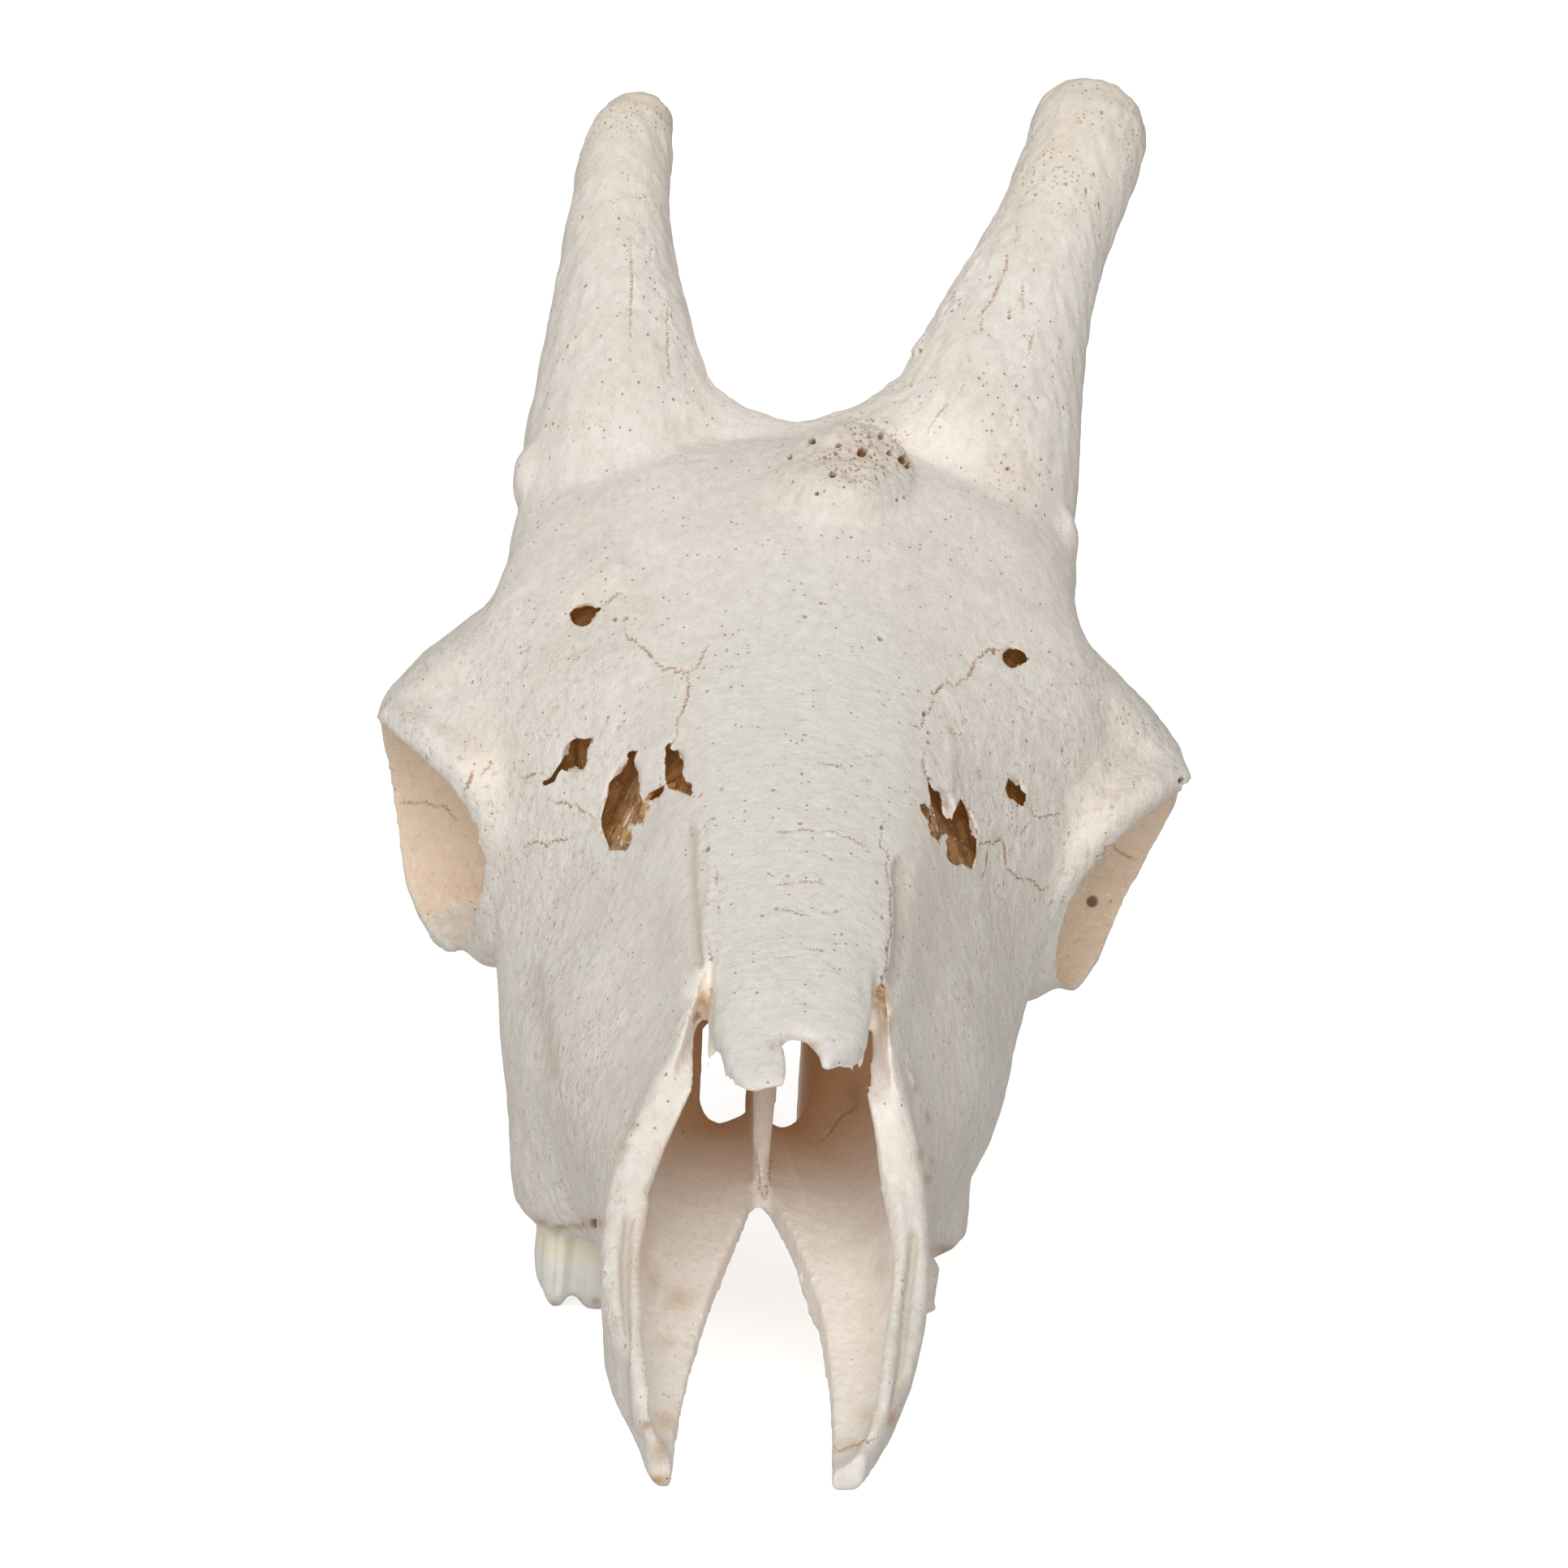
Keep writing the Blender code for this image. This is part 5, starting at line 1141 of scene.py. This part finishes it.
GROUPS = {
    "Bone Tone": tone_group,
    "Bone Hollows": hollow_group,
    "Bone Pores": pore_group,
    "Bone Grain": grain_group,
}


def place_group(tree, name, values):
    """The outputs of a shared node group, which is built once, with its inputs in one material."""
    shared = bpy.data.node_groups.get(name) or GROUPS[name](name)
    return node(tree, "ShaderNodeGroup", values, node_tree=shared).outputs


def bone_material(name, stretch, grain_scale):
    """The finish of one bone."""
    finish = bpy.context.scene.bone_finish
    material = bpy.data.materials.new(name)
    material.use_nodes = True
    tree = material.node_tree
    shader = tree.nodes["Principled BSDF"]

    def mask(label):
        return node(tree, "ShaderNodeAttribute", {}, attribute_name=label).outputs["Fac"]

    def shade(label):
        return (*getattr(finish, label), 1.0)

    def pores(scale, amount, size, along=EVEN):
        values = {"Scale": scale, "Amount": amount, "Size": size, "Stretch": along}
        return place_group(tree, "Bone Pores", values)["Mask"]

    tone = place_group(tree, "Bone Tone", {
        "Bone": shade("cream"), "Bleached": shade("pale"), "Bridge": shade("bridge"),
        "Bridge Mask": mask("bridge"),
    })
    deep = place_group(tree, "Bone Hollows", {
        "Color": tone["Color"], "Hollow": mask("hollow"), "Deep": mask("deep"), "Gap": mask("gap"),
        "Tan": shade("tan"), "Ruddy": shade("ruddy"), "Amber": shade("amber"),
        "Socket Mask": mask("socket"), "Socket": shade("socket"), "Gap Glow": shade("gap_glow"),
        "Light Amber": shade("light_amber"),
    })
    grain = place_group(tree, "Bone Grain", {"Stretch": stretch, "Scale": grain_scale})
    dash_amount = maths(tree, "MULTIPLY_ADD", mask("horn"), 0.22, 0.05)
    dash_stretch = (1.0, 1.0 - 0.4 * (1 - stretch[1]), stretch[2])
    spongy = times(tree, pores(scale=640.0, amount=mask("porous"), size=0.40), mask("porous"))
    dots = maths(tree, "MAXIMUM", pores(scale=620.0, amount=0.12, size=0.30), spongy)
    dashes = pores(scale=430.0, amount=dash_amount, size=0.26, along=dash_stretch)
    dots = maths(tree, "MAXIMUM", dots, dashes)
    dots = times(tree, dots, step(tree, mask("tooth"), 0.5, 0.1))
    dots = times(tree, dots, step(tree, mask("hollow"), 0.62, 0.42))
    flaked = maths(tree, "MULTIPLY_ADD", mask("flaky"), 0.8, 0.5)
    place = tree.nodes.new("ShaderNodeNewGeometry").outputs["Position"]
    rise = node(tree, "ShaderNodeSeparateXYZ", {0: place}).outputs["Z"]
    enamel = blend(tree, step(tree, rise, ENAMEL_START, ENAMEL_END), shade("crown"), shade("neck"))
    marks = maths(tree, "MAXIMUM", times(tree, dots, 0.7), times(tree, mask("seam_and_shadow"), 0.85))

    base = deep["Color"]
    for part, over in (
        (times(tree, grain["Flake"], 0.16), FIBRE),
        (times(tree, mask("tip"), 0.6), shade("tip")),
        (times(tree, grain["Fleck"], flaked), shade("fleck")),
        (times(tree, grain["Fleck Shade"], flaked), DULL_FLECK),
        # Painted shade in the grooves
        (times(tree, mask("relief"), 0.4), GROOVE_SHADE),
        (mask("tooth"), enamel),
        # Old stains, and painted shade on the brows and in the notches of the nose
        (mask("stain_and_shade"), shade("stain_and_shade")),
        # Cracks, seams and pores, with the painted shadow in the notches of the nose
        (marks, shade("crack_and_shadow")),
        # Painted shade inside the small holes and pits
        (mask("pit"), shade("pit")),
    ):
        base = blend(tree, part, base, over)

    relief = maths(tree, "MULTIPLY_ADD", flaked, 0.9, 0.2)
    height = maths(tree, "SUBTRACT", times(tree, grain["Height"], relief), times(tree, dots, 0.5))
    height = times(tree, height, step(tree, mask("tooth"), 1.2, 0.2))
    bump = node(tree, "ShaderNodeBump", {"Strength": 0.9, "Distance": 1.2 * MM, "Height": height})
    fill(tree, shader, {
        "Base Color": base,
        "Roughness": maths(tree, "SUBTRACT", finish.roughness, times(tree, mask("tooth"), 0.33)),
        "Specular IOR Level": 0.35,
        # The hollows and gaps glow with painted light
        "Emission Color": deep["Glow"],
        "Emission Strength": finish.through,
        "Normal": bump.outputs[0],
    })
    return material


def dress_bones(*names):
    """Makes bones, gives them their finish and sets them in their solids' places."""
    if "fine" not in state:
        raise RuntimeError("make the fine surface first")
    for name in names:
        bone = take_bone(name)
        bone.data.materials.clear()
        bone.data.materials.append(bone_material("aged_" + name, *GRAINS.get(name, USUAL_GRAIN)))
        bone.data.shade_smooth()
        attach(bone, "root")
        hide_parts(name)
    return {"FINISHED"}


# Operators

class SKULL_OT_surface(bpy.types.Operator):
    """Make the fine surface of the whole skull, with its gaps, seams and cracks"""

    bl_idname = "skull.surface"
    bl_label = "Fine Surface"

    def execute(self, context):
        shape = context.scene.skull_shape
        fine = read_solids()
        apply_modifier(fine, "REMESH", mode="VOXEL", voxel_size=shape.grain)
        apply_modifier(fine, "SMOOTH", factor=0.5, iterations=shape.smoothing)
        nudge(fine)
        cut_gaps(fine)
        shape_surface(fine)
        state["fine"] = fine
        state["face_owners"] = face_owners(fine)
        return {"FINISHED"}


class SKULL_OT_braincase(bpy.types.Operator):
    """Make the braincase with the back and underside of the skull"""

    bl_idname = "skull.braincase"
    bl_label = "Braincase"

    def execute(self, context):
        return dress_bones("braincase")


class SKULL_OT_forehead(bpy.types.Operator):
    """Make the frontal bones, the nasal bones and the vomer"""

    bl_idname = "skull.forehead"
    bl_label = "Forehead and Nose"

    def execute(self, context):
        return dress_bones("frontal", "nasals", "vomer")


class SKULL_OT_jaws(bpy.types.Operator):
    """Make the two maxillae with their teeth"""

    bl_idname = "skull.jaws"
    bl_label = "Upper Jaws"

    def execute(self, context):
        return dress_bones("maxilla_left", "maxilla_right")


class SKULL_OT_cheeks(bpy.types.Operator):
    """Make the cheek bones with the lower rims of the eye sockets"""

    bl_idname = "skull.cheeks"
    bl_label = "Cheek Bones"

    def execute(self, context):
        return dress_bones("zygomatic_left", "zygomatic_right")


class SKULL_OT_horns(bpy.types.Operator):
    """Make the two horn cores"""

    bl_idname = "skull.horns"
    bl_label = "Horn Cores"

    def execute(self, context):
        return dress_bones("ossicone_left", "ossicone_right")


def seen_white(tree, low, high):
    """A strength that is high for the camera and low for everything else."""
    seen = tree.nodes.new("ShaderNodeLightPath").outputs["Is Camera Ray"]
    return maths(tree, "MULTIPLY_ADD", seen, high - low, low)


def pale_floor(stage):
    """A wide, pale, matt floor, which looks white."""
    bm = bmesh.new()
    bmesh.ops.create_grid(bm, x_segments=8, y_segments=8, size=60.0)
    floor = mesh_object("floor", bm)
    material = bpy.data.materials.new("pale_floor")
    material.use_nodes = True
    tree = material.node_tree
    patches = node(tree, "ShaderNodeTexNoise", {"Scale": 3.0, "Detail": 2.0}).outputs["Fac"]
    duller = tuple(value * 0.99 for value in stage.floor)
    fill(tree, tree.nodes["Principled BSDF"], {
        "Base Color": blend(tree, patches, (*duller, 1.0), (*stage.floor, 1.0)),
        "Roughness": 0.9,
        "Emission Color": (*stage.floor, 1.0),
        "Emission Strength": seen_white(tree, 0.0, stage.glow),
    })
    floor.data.materials.append(material)
    return floor


def room_light(stage):
    """An even light from all sides, in a room that looks white."""
    world = bpy.data.worlds.new("room")
    world.use_nodes = True
    tree = world.node_tree
    fill(tree, tree.nodes["Background"], {
        "Color": (*stage.lamp, 1.0), "Strength": seen_white(tree, stage.sky, 1.0),
    })
    return world


def soft_light(name, direction, spread, power, tint):
    """A far lamp that shines along a direction with soft shadows."""
    data = bpy.data.lights.new(name, "SUN")
    data.angle = math.radians(spread)
    data.energy = power
    data.color = tint
    new_object(name, data).rotation_euler = Vector(direction).to_track_quat("-Z", "Y").to_euler()


def viewer():
    """The camera that sees the picture."""
    data = bpy.data.cameras.new("camera")
    data.sensor_width = SENSOR
    data.lens = FOCAL / PICTURE * SENSOR
    data.clip_end = 200
    camera = new_object("camera", data)
    turn = Matrix((VIEW_RIGHT, VIEW_UP, -VIEW_AHEAD)).transposed().to_4x4()
    camera.matrix_world = Matrix.Translation(VIEW_PLACE) @ turn
    return camera


class SKULL_OT_stage(bpy.types.Operator):
    """Set up the pale floor, the soft light and the camera"""

    bl_idname = "skull.stage"
    bl_label = "Stage"

    def execute(self, context):
        stage = context.scene.skull_stage
        pale_floor(stage)
        context.scene.world = room_light(stage)
        soft_light("main_light", (0.22, 0.72, -0.66), 50, stage.key, stage.lamp)
        soft_light("front_light", (0.0, 0.95, -0.31), 30, stage.front, stage.lamp)
        context.scene.camera = viewer()
        context.scene.view_settings.view_transform = "Standard"
        bpy.data.objects.remove(state.pop("fine"))
        return {"FINISHED"}


class SKULL_PT_panel(bpy.types.Panel):
    """The skull's sizes, colours and pieces"""

    bl_idname = "SKULL_PT_panel"
    bl_label = "Giraffe Skull"
    bl_space_type = "VIEW_3D"
    bl_region_type = "UI"
    bl_category = "Skull"

    def draw(self, context):
        for operator in OPERATORS:
            self.layout.operator(operator.bl_idname)
        for group in (context.scene.skull_shape, context.scene.bone_finish, context.scene.skull_stage):
            box = self.layout.box()
            for key in group.bl_rna.properties.keys():
                if key not in ("rna_type", "name"):
                    box.prop(group, key)


OPERATORS = (
    SKULL_OT_surface, SKULL_OT_braincase, SKULL_OT_forehead, SKULL_OT_jaws, SKULL_OT_cheeks,
    SKULL_OT_horns, SKULL_OT_stage,
)
SETTINGS = {"skull_shape": SkullShape, "bone_finish": BoneFinish, "skull_stage": StageSettings}
CLASSES = (*SETTINGS.values(), *OPERATORS, SKULL_PT_panel)


def register():
    """Registers the settings, the operators and the panel."""
    for cls in CLASSES:
        bpy.utils.register_class(cls)
    for name, cls in SETTINGS.items():
        setattr(bpy.types.Scene, name, PointerProperty(type=cls))


def unregister():
    """Takes back what register adds."""
    for name in SETTINGS:
        delattr(bpy.types.Scene, name)
    for cls in reversed(CLASSES):
        bpy.utils.unregister_class(cls)


def main():
    """Makes the whole skull and its stage."""
    register()
    for operator in OPERATORS:
        getattr(bpy.ops.skull, operator.bl_idname.split(".")[1])()


if __name__ == "__main__":
    main()
